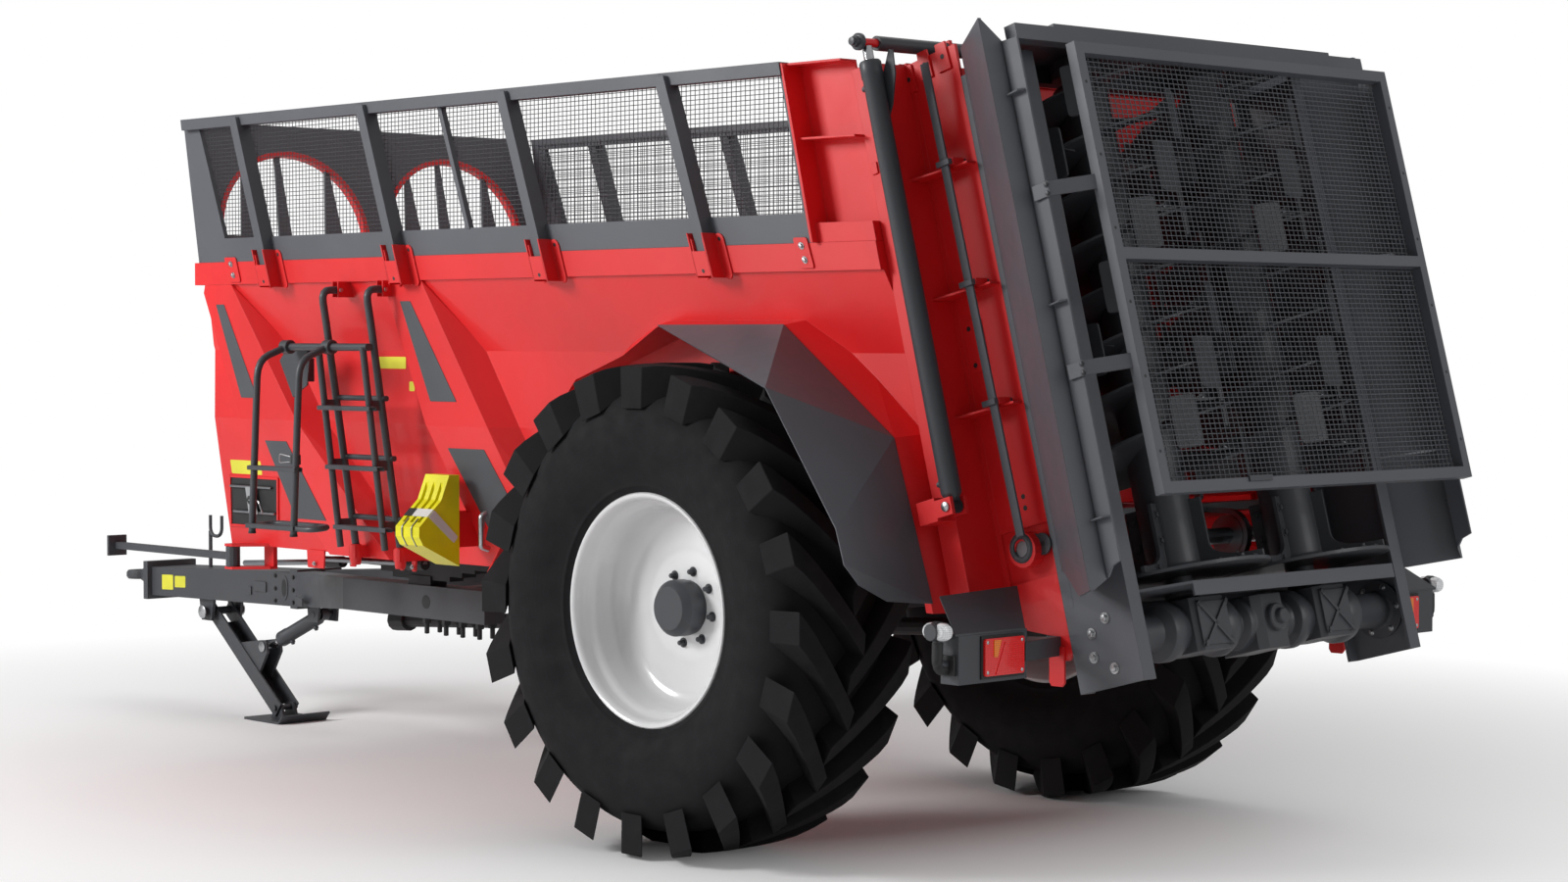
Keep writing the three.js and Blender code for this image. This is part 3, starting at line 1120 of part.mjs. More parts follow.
function ladderFold() {
  const r = 15;
  const [y, z] = LADDER_BAR;
  const tubes = [FOLD_X, FOLD_X + FOLD_W].map((x) => join(
    bentTube([[x, y, z], [x, y + 150, z - 55], [x, y + 183, 1070]], r, 50, 6),
    rod([x - 26, y, z], [x + 26, y, z], 30, 12)));
  const steps = [[1340, y + 171], [1095, y + 181]].map(([sz, sy]) =>
    box(FOLD_X - 10, FOLD_X + FOLD_W + 25, sy - 20, sy + 20, sz - 9, sz + 9));
  const bore = rod([FOLD_X - 60, y, z], [FOLD_X + FOLD_W + 60, y, z], boreOver(FOLD_PIN_R, 12), 12);
  return cut(join(tubes, steps), bore);
}

const CHOCK_BASE = 1000;            // y of the wheel chock's back
const CHOCK_X = [1480, 1640];

// Wedge standing on end, its back to the hopper and its slotted faces outward.
function chock() {
  const y = CHOCK_BASE;
  const body = endOutline([
    [y, 1335], [y + 50, 1335], [y + 90, 1235], [y + 200, 1130], [y + 200, 1090], [y + 180, 1055], [y, 965],
  ], ...CHOCK_X);
  const [rear, front] = CHOCK_X;
  const slots = [0.2, 0.5, 0.8].map((f) => {
    const x = rear + f * (front - rear);
    return endOutline([[y + 78, 1320], [y + 62, 1320], [y + 62, 1215], [y + 170, 1115], [y + 182, 1150]],
      x - 10, x + 10);
  });
  return cut(body, slots);
}

// Plate on two arms that holds the wheel chock off the hopper's side.
function chockHolder() {
  const [low, high] = [1040, 1180];
  const back = CHOCK_BASE - FIT;
  const plate = box(CHOCK_X[0] + 20, CHOCK_X[1] - 20, back - 12, back, low, high);
  const arms = [CHOCK_X[0] + 20, CHOCK_X[1] - 32].map((x) =>
    box(x, x + 12, SKIRT_HALF - 20, back - 1, low, high));
  return join(plate, arms);
}

// Lamp housing with its hood, the marker lamp on its arm and the strap to the side plate.
function tailLight() {
  const [x0, x1] = [-1600, -1520];
  const yIn = COLUMN_HALF + 215;
  const yOut = yIn + 327;
  const lampX = x1 - 33;
  const body = box(x0, x1, yIn, yOut, 765, 930);
  const arm = bentTube([[lampX, yOut - 2, 830], [lampX, yOut + 49, 830], [lampX, yOut + 49, 925]], 17,
    22, 8);
  const lamp = rod([lampX, yOut + 13, 940], [lampX, yOut + 85, 940], 28, 12);
  const edge = [[x0 - 2, yOut + 18, 925], [x0 - 2, yIn + 10, 925], [x1 + 70, yIn + 260, 1035],
    [x1 + 100, yIn - 150, 1045]];
  const hood = hull([...edge, ...edge.map(([x, y, z]) => [x, y, z + 7])]);
  const strap = planOutline([[x0 - 4, yIn + 10], [x0 + 8, yIn + 10], [-1548, COLUMN_HALF + 12],
    [-1505, COLUMN_HALF + 12], [-1505, COLUMN_HALF + FIT], [-1560, COLUMN_HALF + FIT]], 820, 885);
  return join(body, arm, lamp, hood, strap);
}

const BAR_PIVOT = [3290, 905, 905];
const BAR_PIN_R = 18;
const BAR_EYE_HALF = 45;

// Swing-out bar at the front corner, with a square end plate.
function supportBar() {
  const [x, y, z] = BAR_PIVOT;
  const beam = box(x, x + 1000, y - 16, y + 16, z - 16, z + 16);
  const plate = box(x + 992, x + 1008, y - 48, y + 48, z - 48, z + 48);
  const eye = rod([x, y, z - BAR_EYE_HALF], [x, y, z + BAR_EYE_HALF], 32, 12);
  return cut(join(beam, plate, eye), rod([x, y, z - 60], [x, y, z + 60], boreOver(BAR_PIN_R, 12), 12));
}

// Two ears and a pin under the hopper's front corner that carry the swing-out bar.
function barBracket() {
  const [x, y, z] = BAR_PIVOT;
  const gap = BAR_EYE_HALF + FIT;
  const ear = [[x - 140, SKIRT_HALF - 40], [x - 60, SKIRT_HALF - 45], [x + 30, y - 20], [x + 30, y + 25],
    [x - 30, y + 25], [x - 140, SKIRT_HALF]];
  const web = box(x - 135, x - 60, SKIRT_HALF - 42, SKIRT_HALF - 22, z - gap - 11, z + gap + 11);
  return join(planOutline(ear, z + gap, z + gap + 12), planOutline(ear, z - gap - 12, z - gap), web,
    rod([x, y, z - gap - 12], [x, y, z + gap + 12], BAR_PIN_R, 12));
}

// Open fork on a post that holds the couplings of the hoses.
function hoseHook() {
  const x = 4900;
  const post = rod([x, 0, 690], [x, 0, 905], 10, 8);
  const fork = bentTube([[x, 0, 985], [x, 0, 905], [x - 25, 0, 880], [x - 80, 0, 880], [x - 105, 0, 905],
    [x - 105, 0, 985]], 9, 20, 8);
  return join(post, fork);
}

// Long shaft from the gearboxes' input to the front, with a joint housing at each end. Its nose
// stands clear of the input's end face by the fit, whatever the angle between them.
function driveShaft() {
  const noseR = 12;
  const [x, z] = deckPoint(GEAR_INPUT_X, GEAR_Z);
  const rear = [x + 30, 0, z - 3];
  const front = [3300, 0, 560];
  const slope = (front[2] - rear[2]) / (front[0] - rear[0]);
  const at = (px) => [px, 0, rear[2] + (px - rear[0]) * slope];
  const root = at(rear[0] + 5);
  const dip = Math.atan2(z - root[2], root[0] - x);
  const [noseX, noseZ] = deckPoint(GEAR_INPUT_X + FIT + noseR * Math.sin(DECK_TILT - dip), GEAR_Z);
  return join(rod(rear, front, 34, 12), rod(at(rear[0]), at(rear[0] + 110), 52, 12),
    rod(at(front[0] - 110), front, 52, 12), rod([noseX, 0, noseZ], root, noseR, 12));
}

// Flat rod beside the left post that shows how far the gate is raised.
function gateIndicator() {
  const y = COLUMN_HALF + 78;
  const flat = bar([85, y, 2240], [60, y, 560], 8, 34);
  const clips = SHELF_Z.map((z) => box(50, 110, COLUMN_HALF + FIT, y + 12, z + 8 + FIT, z + 28));
  return join(flat, clips);
}

addWheels();
addChassis();
addJack();
addGate();
addBeaters();
placePair(deck, 'end_post', endPost(), RED);
place(deck, 'gate_indicator', gateIndicator(), DARK);
placePair(machine, 'upper_panel', upperPanel(), RED);
place(deck, 'guard_frame', guardFrame(), GREY);
place(deck, 'guard_mesh', guardMesh(), GREY);
placePair(machine, 'extension_frame', extensionFrame(), GREY);
placePair(machine, 'extension_mesh', extensionMesh(), GREY);
place(machine, 'front_screen', frontScreen(), GREY);
placePair(machine, 'fender', fender(), GREY);
place(machine, 'ladder_fixed', ladderFixed(), DARK);
place(machine, 'ladder_fold', ladderFold(), DARK);
place(machine, 'wheel_chock', chock(), YELLOW);
placePair(machine, 'tail_light', tailLight(), DARK);
place(machine, 'support_bar', supportBar(), DARK);
place(machine, 'drive_shaft', driveShaft(), STEEL);

export default spreader;
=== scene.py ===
"""A manure spreader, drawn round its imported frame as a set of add-on operators."""

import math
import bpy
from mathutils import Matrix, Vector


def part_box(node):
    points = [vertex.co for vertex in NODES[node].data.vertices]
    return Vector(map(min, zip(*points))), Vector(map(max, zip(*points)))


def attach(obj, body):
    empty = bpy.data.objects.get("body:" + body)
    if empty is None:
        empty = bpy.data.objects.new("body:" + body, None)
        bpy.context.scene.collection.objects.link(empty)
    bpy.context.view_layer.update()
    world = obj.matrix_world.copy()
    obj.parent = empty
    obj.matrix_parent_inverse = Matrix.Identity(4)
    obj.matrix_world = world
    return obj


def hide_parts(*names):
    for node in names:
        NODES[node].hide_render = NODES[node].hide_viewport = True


bl_info = {
    "name": "Manure spreader",
    "version": (1, 0, 0),
    "blender": (4, 5, 0),
    "location": "3D View > Sidebar > Spreader",
    "description": "Builds the visible pieces, finishes and stage of a manure spreader",
    "category": "Object",
}

import bmesh
import bpy
import numpy as np
from mathutils import Vector

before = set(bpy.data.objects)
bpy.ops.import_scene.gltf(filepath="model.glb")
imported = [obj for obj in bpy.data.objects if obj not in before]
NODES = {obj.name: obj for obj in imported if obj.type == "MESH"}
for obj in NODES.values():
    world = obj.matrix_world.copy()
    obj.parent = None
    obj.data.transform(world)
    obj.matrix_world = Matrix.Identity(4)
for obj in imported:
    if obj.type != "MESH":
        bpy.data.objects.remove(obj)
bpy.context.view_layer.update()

# ---------------------------------------------------------------- places from the frame


def corners(node):
    """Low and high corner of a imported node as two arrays."""
    low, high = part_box(node)
    return np.array(low), np.array(high)


TYRE_LOW, TYRE_HIGH = corners("tyre_left")
AXLE_X = (TYRE_LOW[0] + TYRE_HIGH[0]) / 2
TYRE_R = TYRE_HIGH[2] / 2
TYRE_Y = (TYRE_LOW[1] + TYRE_HIGH[1]) / 2

# The slope of the beater unit: x forward, z up along the slope.
TILT = math.radians(14.9)
DECK_BASIS = np.array([[math.cos(TILT), 0, math.sin(TILT)], [0, 1, 0], [-math.sin(TILT), 0, math.cos(TILT)]])
DECK_FOOT = np.array([AXLE_X - 1.649, 0, 0.695])
MIRROR = np.array([1.0, -1.0, 1.0])


def on_machine(points):
    """Points measured from the ground under the axle, shifted into the part's frame."""
    return np.asarray(points, float) + np.array([AXLE_X, 0, 0])


def on_deck(points):
    """Points of the sloping deck, turned by the slope and moved to the foot of its columns."""
    return np.asarray(points, float) @ DECK_BASIS.T + DECK_FOOT


# ---------------------------------------------------------------- surfaces


def grid_faces(rows, columns, close_rows=False, close_columns=True):
    """Quads between neighbouring rows and columns; corner (i, j) has the number i * columns + j."""
    i = np.arange(rows if close_rows else rows - 1)[:, None]
    j = np.arange(columns if close_columns else columns - 1)[None, :]
    down, right = (i + 1) % rows, (j + 1) % columns
    quads = np.stack([i * columns + j, i * columns + right, down * columns + right, down * columns + j], -1)
    return quads.reshape(-1, 4)


def revolve(profile, sides=48, closed=False):
    """A profile of (radius, height) turned about Z: (r cos a, r sin a, h) for even angles a."""
    profile = np.asarray(profile, float)
    a = np.arange(sides) * 2 * math.pi / sides
    r, h = profile[:, :1], profile[:, 1:]
    points = np.stack([r * np.cos(a), r * np.sin(a), h + 0 * a], -1).reshape(-1, 3)
    return points, [grid_faces(len(profile), sides, close_rows=closed)]


def prism(outline, low, high):
    """An outline of (x, y) drawn twice, at the heights low and high, with walls between."""
    outline = np.asarray(outline, float)
    n = len(outline)
    points = np.concatenate([np.c_[outline, np.full(n, low)], np.c_[outline, np.full(n, high)]])
    return points, [grid_faces(2, n), np.arange(n)[None, ::-1], np.arange(n)[None, :] + n]


def box(low, high):
    """Eight corners and six faces between two opposite corners."""
    (x0, y0, z0), (x1, y1, z1) = low, high
    return prism([(x0, y0), (x1, y0), (x1, y1), (x0, y1)], z0, z1)


def tube_rings(path, outline, up=(0, 0, 1), closed=False):
    """An outline of (across, up) carried square to a path; across is tangent x up, made unit length."""
    path = np.asarray(path, float)
    outline = np.asarray(outline, float)
    if closed:
        tangent = np.roll(path, -1, 0) - np.roll(path, 1, 0)
    else:
        tangent = np.gradient(path, axis=0)
    tangent /= np.linalg.norm(tangent, axis=1, keepdims=True)
    across = np.cross(tangent, np.asarray(up, float))
    across /= np.linalg.norm(across, axis=1, keepdims=True)
    over = np.cross(across, tangent)
    rings = path[:, None] + outline[None, :, :1] * across[:, None] + outline[None, :, 1:] * over[:, None]
    n = len(outline)
    faces = [grid_faces(len(path), n, close_rows=closed)]
    if not closed:
        faces += [np.arange(n)[None, ::-1], np.arange(n)[None, :] + n * (len(path) - 1)]
    return rings.reshape(-1, 3), faces


def circle(r, sides=12):
    """Evenly spaced points on a circle about the origin."""
    a = np.arange(sides) * 2 * math.pi / sides
    return np.stack([r * np.cos(a), r * np.sin(a)], -1)


def rounded(points, r, steps=5):
    """A path through points whose inner corners are quadratic arcs that start r before each corner."""
    p = np.asarray(points, float)
    t = np.linspace(0, 1, steps)[:, None]
    path = [p[:1]]
    for k in range(1, len(p) - 1):
        a = p[k] + (p[k - 1] - p[k]) * min(0.45, r / np.linalg.norm(p[k - 1] - p[k]))
        b = p[k] + (p[k + 1] - p[k]) * min(0.45, r / np.linalg.norm(p[k + 1] - p[k]))
        path.append((1 - t) ** 2 * a + 2 * t * (1 - t) * p[k] + t**2 * b)
    path.append(p[-1:])
    return np.concatenate(path)


def bent_tube(points, r, bend=0.05, sides=12, up=(0.3, 0.2, 0.9)):
    """A round tube along a rounded path."""
    return tube_rings(rounded(points, bend), circle(r, sides), up)


def straight(a, b, r, sides=12, up=(0.3, 0.2, 0.9)):
    """A round bar between two points."""
    return tube_rings([a, b], circle(r, sides), up)


def copies(shape, origins, basis=None):
    """A shape set down at each of many origins, its axes given by one basis or one for each."""
    points, faces = shape
    origins = np.atleast_2d(np.asarray(origins, float))
    m, n = len(origins), len(points)
    basis = np.broadcast_to(np.eye(3) if basis is None else np.asarray(basis, float), (m, 3, 3))
    all_points = np.einsum("nk,mkj->mnj", points, basis) + origins[:, None]
    shift = np.arange(m)[:, None, None] * n
    return all_points.reshape(-1, 3), [(f[None] + shift).reshape(-1, f.shape[1]) for f in faces]


def axes_along(z):
    """Three rows of unit vectors whose last is z."""
    z = np.asarray(z, float) / np.linalg.norm(z)
    x = np.cross((0, 0, 1) if abs(z[2]) < 0.9 else (1, 0, 0), z)
    x /= np.linalg.norm(x)
    return np.stack([x, np.cross(z, x), z])


def bolt(size=0.012):
    """A washer, a hexagonal head with a chamfer and a domed top, turned about Z from z = 0."""
    a = np.arange(12) * math.pi / 6
    flat = size * math.cos(math.pi / 6) / np.cos((a % (math.pi / 3)) - math.pi / 6)
    rows = [(1.5 * size + 0 * a, 0), (1.5 * size + 0 * a, 0.25), (flat, 0.25), (flat, 0.9),
            (0.82 * flat, 1.05), (0 * a + 0.1 * size, 1.1)]
    points = np.concatenate([np.stack([r * np.cos(a), r * np.sin(a), 0 * a + h * size], -1) for r, h in rows])
    last = 12 * (len(rows) - 1)
    return points, [grid_faces(len(rows), 12), np.arange(12)[None, ::-1], np.arange(12)[None] + last]


class Skin:
    """Gathers shapes and builds them as one mesh piece with a finish for each shape."""

    def __init__(self, name, body, slot=None):
        self.name, self.body, self.slot = name, body, slot
        self.points, self.faces, self.finishes, self.marks = [], [], [], []
        self.count = 0

    def add(self, shape, finish, move=None, flip=False):
        """Adds a shape of (points, face arrays); move maps its points, flip mirrors it across the middle."""
        points, faces = shape
        points = np.asarray(points, float)
        if move is not None:
            points = move(points)
        if flip:
            points = points * MIRROR
        if finish not in self.finishes:
            self.finishes.append(finish)
        mark = self.finishes.index(finish)
        for f in faces:
            rows = np.asarray(f) + self.count
            self.faces += rows.tolist()
            self.marks.append(np.full(len(rows), mark))
        self.points.append(points)
        self.count += len(points)
        return self

    def both(self, shape, finish, move=None):
        """Adds a shape and its mirror image."""
        return self.add(shape, finish, move).add(shape, finish, move, flip=True)

    def build(self, replaces=(), sharp=32.0, bevel=0.0):
        """Makes the mesh, closes its seams, turns its faces out and lets the object ride on its body."""
        mesh = bpy.data.meshes.new(self.name)
        mesh.from_pydata(np.concatenate(self.points).tolist(), [], self.faces)
        mesh.polygons.foreach_set("material_index", np.concatenate(self.marks).astype(np.int32))
        for finish in self.finishes:
            mesh.materials.append(finish)
        work = bmesh.new()
        work.from_mesh(mesh)
        bmesh.ops.remove_doubles(work, verts=work.verts, dist=2e-6)
        bmesh.ops.dissolve_degenerate(work, edges=work.edges, dist=1e-6)
        bmesh.ops.recalc_face_normals(work, faces=work.faces)
        work.to_mesh(mesh)
        work.free()
        mesh.shade_smooth()
        mesh.set_sharp_from_angle(angle=math.radians(sharp))
        piece = bpy.data.objects.new(self.name, mesh)
        bpy.context.scene.collection.objects.link(piece)
        if bevel:
            edge = piece.modifiers.new("rounded_edges", "BEVEL")
            edge.width, edge.segments, edge.limit_method = bevel, 2, "ANGLE"
            edge.angle_limit = math.radians(40)
            edge.harden_normals = False
        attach(piece, self.body)
        if replaces:
            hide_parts(*replaces)
        return piece


# ---------------------------------------------------------------- finishes


class Value:
    """One number socket; Python's operators on it add Math nodes."""

    def __init__(self, tree, socket):
        self.tree, self.socket = tree, socket

    def math(self, operation, *others, clamp=False):
        """A Math node whose inputs are the given values, in order."""
        node = self.tree.nodes.new("ShaderNodeMath")
        node.operation = operation
        node.use_clamp = clamp
        for slot, value in zip(node.inputs, others):
            if isinstance(value, Value):
                self.tree.links.new(value.socket, slot)
            else:
                slot.default_value = value
        return Value(self.tree, node.outputs[0])

    def __add__(self, other):
        return self.math("ADD", self, other)

    __radd__ = __add__

    def __mul__(self, other):
        return self.math("MULTIPLY", self, other)

    __rmul__ = __mul__

    def __sub__(self, other):
        return self.math("SUBTRACT", self, other)

    def __rsub__(self, other):
        return self.math("SUBTRACT", other, self)

    def __truediv__(self, other):
        return self.math("DIVIDE", self, other)

    def __pow__(self, other):
        return self.math("POWER", self, other)

    def ramp(self, low, high):
        """0 below low, 1 above high and straight between, held in that range."""
        return self.math("MULTIPLY", self - low, 1 / (high - low), clamp=True)

    def sine(self):
        return self.math("SINE", self)


class Finish:
    """A material on the Principled shader, with helpers for its nodes."""

    def __init__(self, name, color, roughness=0.5, metallic=0.0, coat=0.0, specular=0.5):
        self.material = bpy.data.materials.new(name)
        self.material.use_nodes = True
        self.tree = self.material.node_tree
        self.shader = self.tree.nodes["Principled BSDF"]
        self.set("Base Color", color)
        self.set("Roughness", roughness)
        self.set("Metallic", metallic)
        self.set("Coat Weight", coat)
        self.set("Coat Roughness", 0.08)
        self.set("Specular IOR Level", specular)

    def set(self, socket, value):
        """Sets or links one of the shader's sockets."""
        slot = self.shader.inputs[socket]
        if hasattr(value, "socket"):
            self.tree.links.new(value.socket, slot)
        elif isinstance(value, bpy.types.NodeSocket):
            self.tree.links.new(value, slot)
        else:
            slot.default_value = (*value, 1) if isinstance(value, tuple) and len(value) == 3 else value

    def node(self, kind, settings=None, inputs=None):
        """Any other node, from its type, its settings and the values or links of its sockets."""
        node = self.tree.nodes.new(kind)
        for key, value in (settings or {}).items():
            setattr(node, key, value)
        for key, value in (inputs or {}).items():
            slot = node.inputs[key]
            if isinstance(value, Value):
                self.tree.links.new(value.socket, slot)
            elif isinstance(value, bpy.types.NodeSocket):
                self.tree.links.new(value, slot)
            else:
                slot.default_value = (*value, 1) if isinstance(value, tuple) and len(value) == 3 and \
                    slot.type == "RGBA" else value
        return node

    def value(self, socket):
        return Value(self.tree, socket)

    def place(self):
        """Object coordinates, in metres in the part's frame."""
        return self.node("ShaderNodeTexCoord").outputs["Object"]

    def noise(self, scale, detail=3.0, stretch=(1, 1, 1)):
        """Noise between about 0.3 and 0.7 on object coordinates."""
        spread = self.node("ShaderNodeMapping", inputs={"Vector": self.place(), "Scale": Vector(stretch)})
        field = self.node("ShaderNodeTexNoise", inputs={
            "Vector": spread.outputs[0], "Scale": scale, "Detail": detail})
        return self.value(field.outputs[0])

    def axis(self, name):
        """One coordinate of the object coordinates as a number."""
        return self.value(self.node("ShaderNodeSeparateXYZ", inputs={0: self.place()}).outputs[name])

    def blend(self, amount, first, second):
        """A colour that goes from first to second as amount goes from 0 to 1."""
        mix = self.node("ShaderNodeMix", {"data_type": "RGBA"}, {0: amount, 6: first, 7: second})
        return mix.outputs[2]

    def bump(self, height, strength, distance=0.001, normal=None):
        """A bump on the shader's Normal."""
        links = {"Height": height, "Strength": strength, "Distance": distance}
        if normal is not None:
            links["Normal"] = normal
        self.set("Normal", self.node("ShaderNodeBump", inputs=links).outputs[0])


def rgb(hexadecimal):
    """Linear colour of a six-figure sRGB colour."""
    c = np.array([int(hexadecimal[k:k + 2], 16) for k in (0, 2, 4)]) / 255
    return tuple(float(v) for v in np.where(c < 0.04045, c / 12.92, ((c + 0.055) / 1.055) ** 2.4))


def sheet_paint(name, color, roughness=0.42, coat=0.12, peel=0.05, dust=0.04):
    """Sprayed enamel on sheet metal: slow drift of tone, orange peel, and pale road dust low down."""
    f = Finish(name, color, roughness, coat=coat)
    drift = f.noise(1.3, 4.0)
    grime = f.noise(9.0, 6.0)
    height = f.axis("Z")
    dusty = (1 - height.ramp(0.15, 1.25)) * grime.ramp(0.42, 0.75) * dust
    darker = tuple(0.86 * c for c in color)
    toned = f.blend(drift.ramp(0.35, 0.65), darker, color)
    f.set("Base Color", f.blend(dusty, toned, (0.32, 0.28, 0.23)))
    f.set("Roughness", roughness + grime.ramp(0.35, 0.7) * 0.08 + dusty * 0.9)
    rounding = f.node("ShaderNodeBevel", {"samples": 3}, {"Radius": 0.003}).outputs[0]
    f.bump(f.noise(420.0, 1.0), peel, 0.0005, rounding)
    return f.material


def plain_finish(name, color, roughness, metallic=0.0, coat=0.0, grain=200.0, strength=0.08):
    """A finish with a fine grain in its bump and a slow change of tone and gloss."""
    f = Finish(name, color, roughness, metallic, coat)
    slow = f.noise(6.0, 4.0)
    f.set("Base Color", f.blend(slow.ramp(0.3, 0.7), tuple(0.82 * c for c in color), color))
    f.set("Roughness", roughness + slow.ramp(0.35, 0.7) * 0.10)
    f.bump(f.noise(grain, 3.0), strength, 0.0006)
    return f.material


def tyre_rubber(name, color):
    """Moulded rubber: fine grain, concentric mould rings on the sidewall, pale dust on the tread."""
    f = Finish(name, color, 0.80, specular=0.18)
    x, z = f.axis("X") - AXLE_X, f.axis("Z") - TYRE_R
    radius = (x * x + z * z) ** 0.5
    rings = (radius * 2 * math.pi / 0.018).sine()
    wall = radius.ramp(0.47, 0.49) * (1 - radius.ramp(0.66, 0.70))
    grime = f.noise(14.0, 6.0)
    dusty = grime.ramp(0.45, 0.8) * radius.ramp(0.70, 0.9)
    f.set("Base Color", f.blend(dusty * 0.05, color, (0.20, 0.18, 0.15)))
    f.set("Roughness", 0.74 + grime.ramp(0.3, 0.7) * 0.16)
    f.bump(rings * wall * 0.25 + f.noise(160.0, 4.0), 0.22, 0.0012)
    return f.material


def clear_lens(name, color):
    """Moulded lamp plastic with a fine prism grid in its bump and a soft glow of its own colour."""
    f = Finish(name, color, 0.12, coat=0.6)
    y, z = f.axis("Y"), f.axis("Z")
    ribs = (y * 900.0).sine() * 0.5 + (z * 900.0).sine() * 0.5
    f.set("Base Color", f.blend(ribs.ramp(-1.0, 1.0), tuple(0.55 * c for c in color), color))
    f.set("Emission Color", (*color, 1))
    f.set("Emission Strength", 0.12)
    f.bump(ribs, 0.30, 0.0008)
    return f.material


# ---------------------------------------------------------------- settings


class SpreaderSizes(bpy.types.PropertyGroup):
    """Sizes of the pieces that a user may change."""

    lugs: bpy.props.IntProperty(name="Lugs a side", description="Tread lugs on each side of a tyre",
                                default=20, min=8)
    lug_base: bpy.props.FloatProperty(
        name="Carcass radius", description="Radius of the tyre between its lugs", default=0.815,
        unit="LENGTH")
    mesh_across: bpy.props.FloatProperty(
        name="Mesh pitch across", description="Spacing of the upright wires", default=0.025, unit="LENGTH")
    mesh_up: bpy.props.FloatProperty(
        name="Mesh pitch up", description="Spacing of the level wires", default=0.0175, unit="LENGTH")
    wire: bpy.props.FloatProperty(
        name="Wire", description="Radius of the extensions' wire", default=0.0015, unit="LENGTH")
    guard_wire: bpy.props.FloatProperty(
        name="Guard wire", description="Radius of the guard's wire", default=0.0019, unit="LENGTH")
    flight_turns: bpy.props.FloatProperty(
        name="Spiral turns", description="Turns of the spiral round each beater", default=4.0)
    knives: bpy.props.IntProperty(name="Knives", description="Knives bolted to each spiral flight",
                                  default=14, min=1)


class SpreaderColours(bpy.types.PropertyGroup):
    """Paint colours, as linear values."""

    red: bpy.props.FloatVectorProperty(
        name="Body red", description="Hopper and chassis paint", subtype="COLOR", default=rgb("e0181c"))
    grey: bpy.props.FloatVectorProperty(
        name="Beater grey", description="Beater unit, fenders and screens", subtype="COLOR",
        default=rgb("54565c"))
    dark: bpy.props.FloatVectorProperty(
        name="Drawbar grey", description="Drawbar, ladder and jack", subtype="COLOR", default=rgb("3d3f44"))
    white: bpy.props.FloatVectorProperty(
        name="Rim white", description="Wheel rims", subtype="COLOR", default=rgb("e9e9ea"))
    rubber: bpy.props.FloatVectorProperty(
        name="Rubber", description="Tyres and seals", subtype="COLOR", default=rgb("1a1a1c"))
    yellow: bpy.props.FloatVectorProperty(
        name="Safety yellow", description="Wheel chock and blank plates", subtype="COLOR",
        default=rgb("e8e000"))


FINISH = {}


def sizes():
    return bpy.context.scene.spreader_sizes


class MIXIN_piece:
    """What every operator of this add-on shares."""

    bl_options = {"REGISTER", "UNDO"}
    needs_finish = True

    def execute(self, context):
        if self.needs_finish and not FINISH:
            raise RuntimeError("run the finishes operator first")
        self.make()
        return {"FINISHED"}


class SPREADER_OT_finishes(MIXIN_piece, bpy.types.Operator):
    """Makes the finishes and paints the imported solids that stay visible"""

    bl_idname = "spreader.finishes"
    bl_label = "Finishes"
    needs_finish = False

    def make(self):
        c = bpy.context.scene.spreader_colours
        red, grey, dark = tuple(c.red), tuple(c.grey), tuple(c.dark)
        FINISH.update(
            red=sheet_paint("body_red", red),
            grey=sheet_paint("beater_grey", grey, 0.44, 0.10),
            dark=sheet_paint("drawbar_grey", dark, 0.46, 0.08),
            inlay=plain_finish("inlay_grey", rgb("484b50"), 0.55, grain=700.0, strength=0.15),
            white=sheet_paint("rim_white", tuple(c.white), 0.16, 0.7, 0.02, 0.03),
            rubber=tyre_rubber("tyre_rubber", tuple(c.rubber)),
            # This black is real moulded plastic and rubber on most parts, and painted shade on the flat discs
            # and sheet that stand in holes and in the valve recess.
            black=plain_finish("moulded_black_and_painted_shade", rgb("1d1e20"), 0.55, grain=500.0, strength=0.2),
            yellow=plain_finish("safety_yellow", tuple(c.yellow), 0.38, coat=0.2, grain=350.0),
            blank_white=plain_finish("blank_plate_white", rgb("d9d9d6"), 0.4, grain=700.0, strength=0.03),
            blank=plain_finish("blank_plate_yellow", rgb("e0dc3c"), 0.45, grain=900.0, strength=0.03),
            zinc=plain_finish("zinc_plate", rgb("b9bbbd"), 0.28, metallic=1.0, grain=900.0, strength=0.1),
            steel=plain_finish("drawn_steel", rgb("8f9296"), 0.32, metallic=1.0, grain=600.0),
            chrome=plain_finish("chromed_rod", rgb("d6d8da"), 0.12, metallic=1.0, grain=900.0, strength=0.02),
            red_lens=clear_lens("red_lens", rgb("e01a1a")),
            amber_lens=clear_lens("amber_lens", rgb("e87a10")),
            clear=clear_lens("clear_lens", rgb("e4e6e8")),
        )
        paints = {
            "red": "hopper_side_left hopper_side_right hopper_front hopper_floor chassis_frame end_post_left "
                   "end_post_right gate upper_panel_left upper_panel_right",
            "grey": "extension_frame_left extension_frame_right front_screen fender_left fender_right "
                    "beater_column_left beater_column_right beater_top_beam beater_pan guard_frame "
                    "gate_indicator",
            "dark": "axle drawbar towing_eye jack_leg jack_foot support_bar tail_light_left tail_light_right",
            "black": "drawbar_spring_left drawbar_spring_right drive_shaft",
            "steel": "chain_floor chain_shaft",
            "yellow": "wheel_chock",
        }
        for finish, names in paints.items():
            for name in names.split():
                mesh = NODES[name].data
                mesh.materials.clear()
                mesh.materials.append(FINISH[finish])


# ---------------------------------------------------------------- wheels


def about_axle(side):
    """Maps a shape turned about Z to the wheel on one side: radius stays in XZ, height runs outwards in Y."""
    def move(p):
        return np.stack([p[:, 0] + AXLE_X, side * (TYRE_Y + p[:, 2]), p[:, 1] + TYRE_R], -1)
    return move


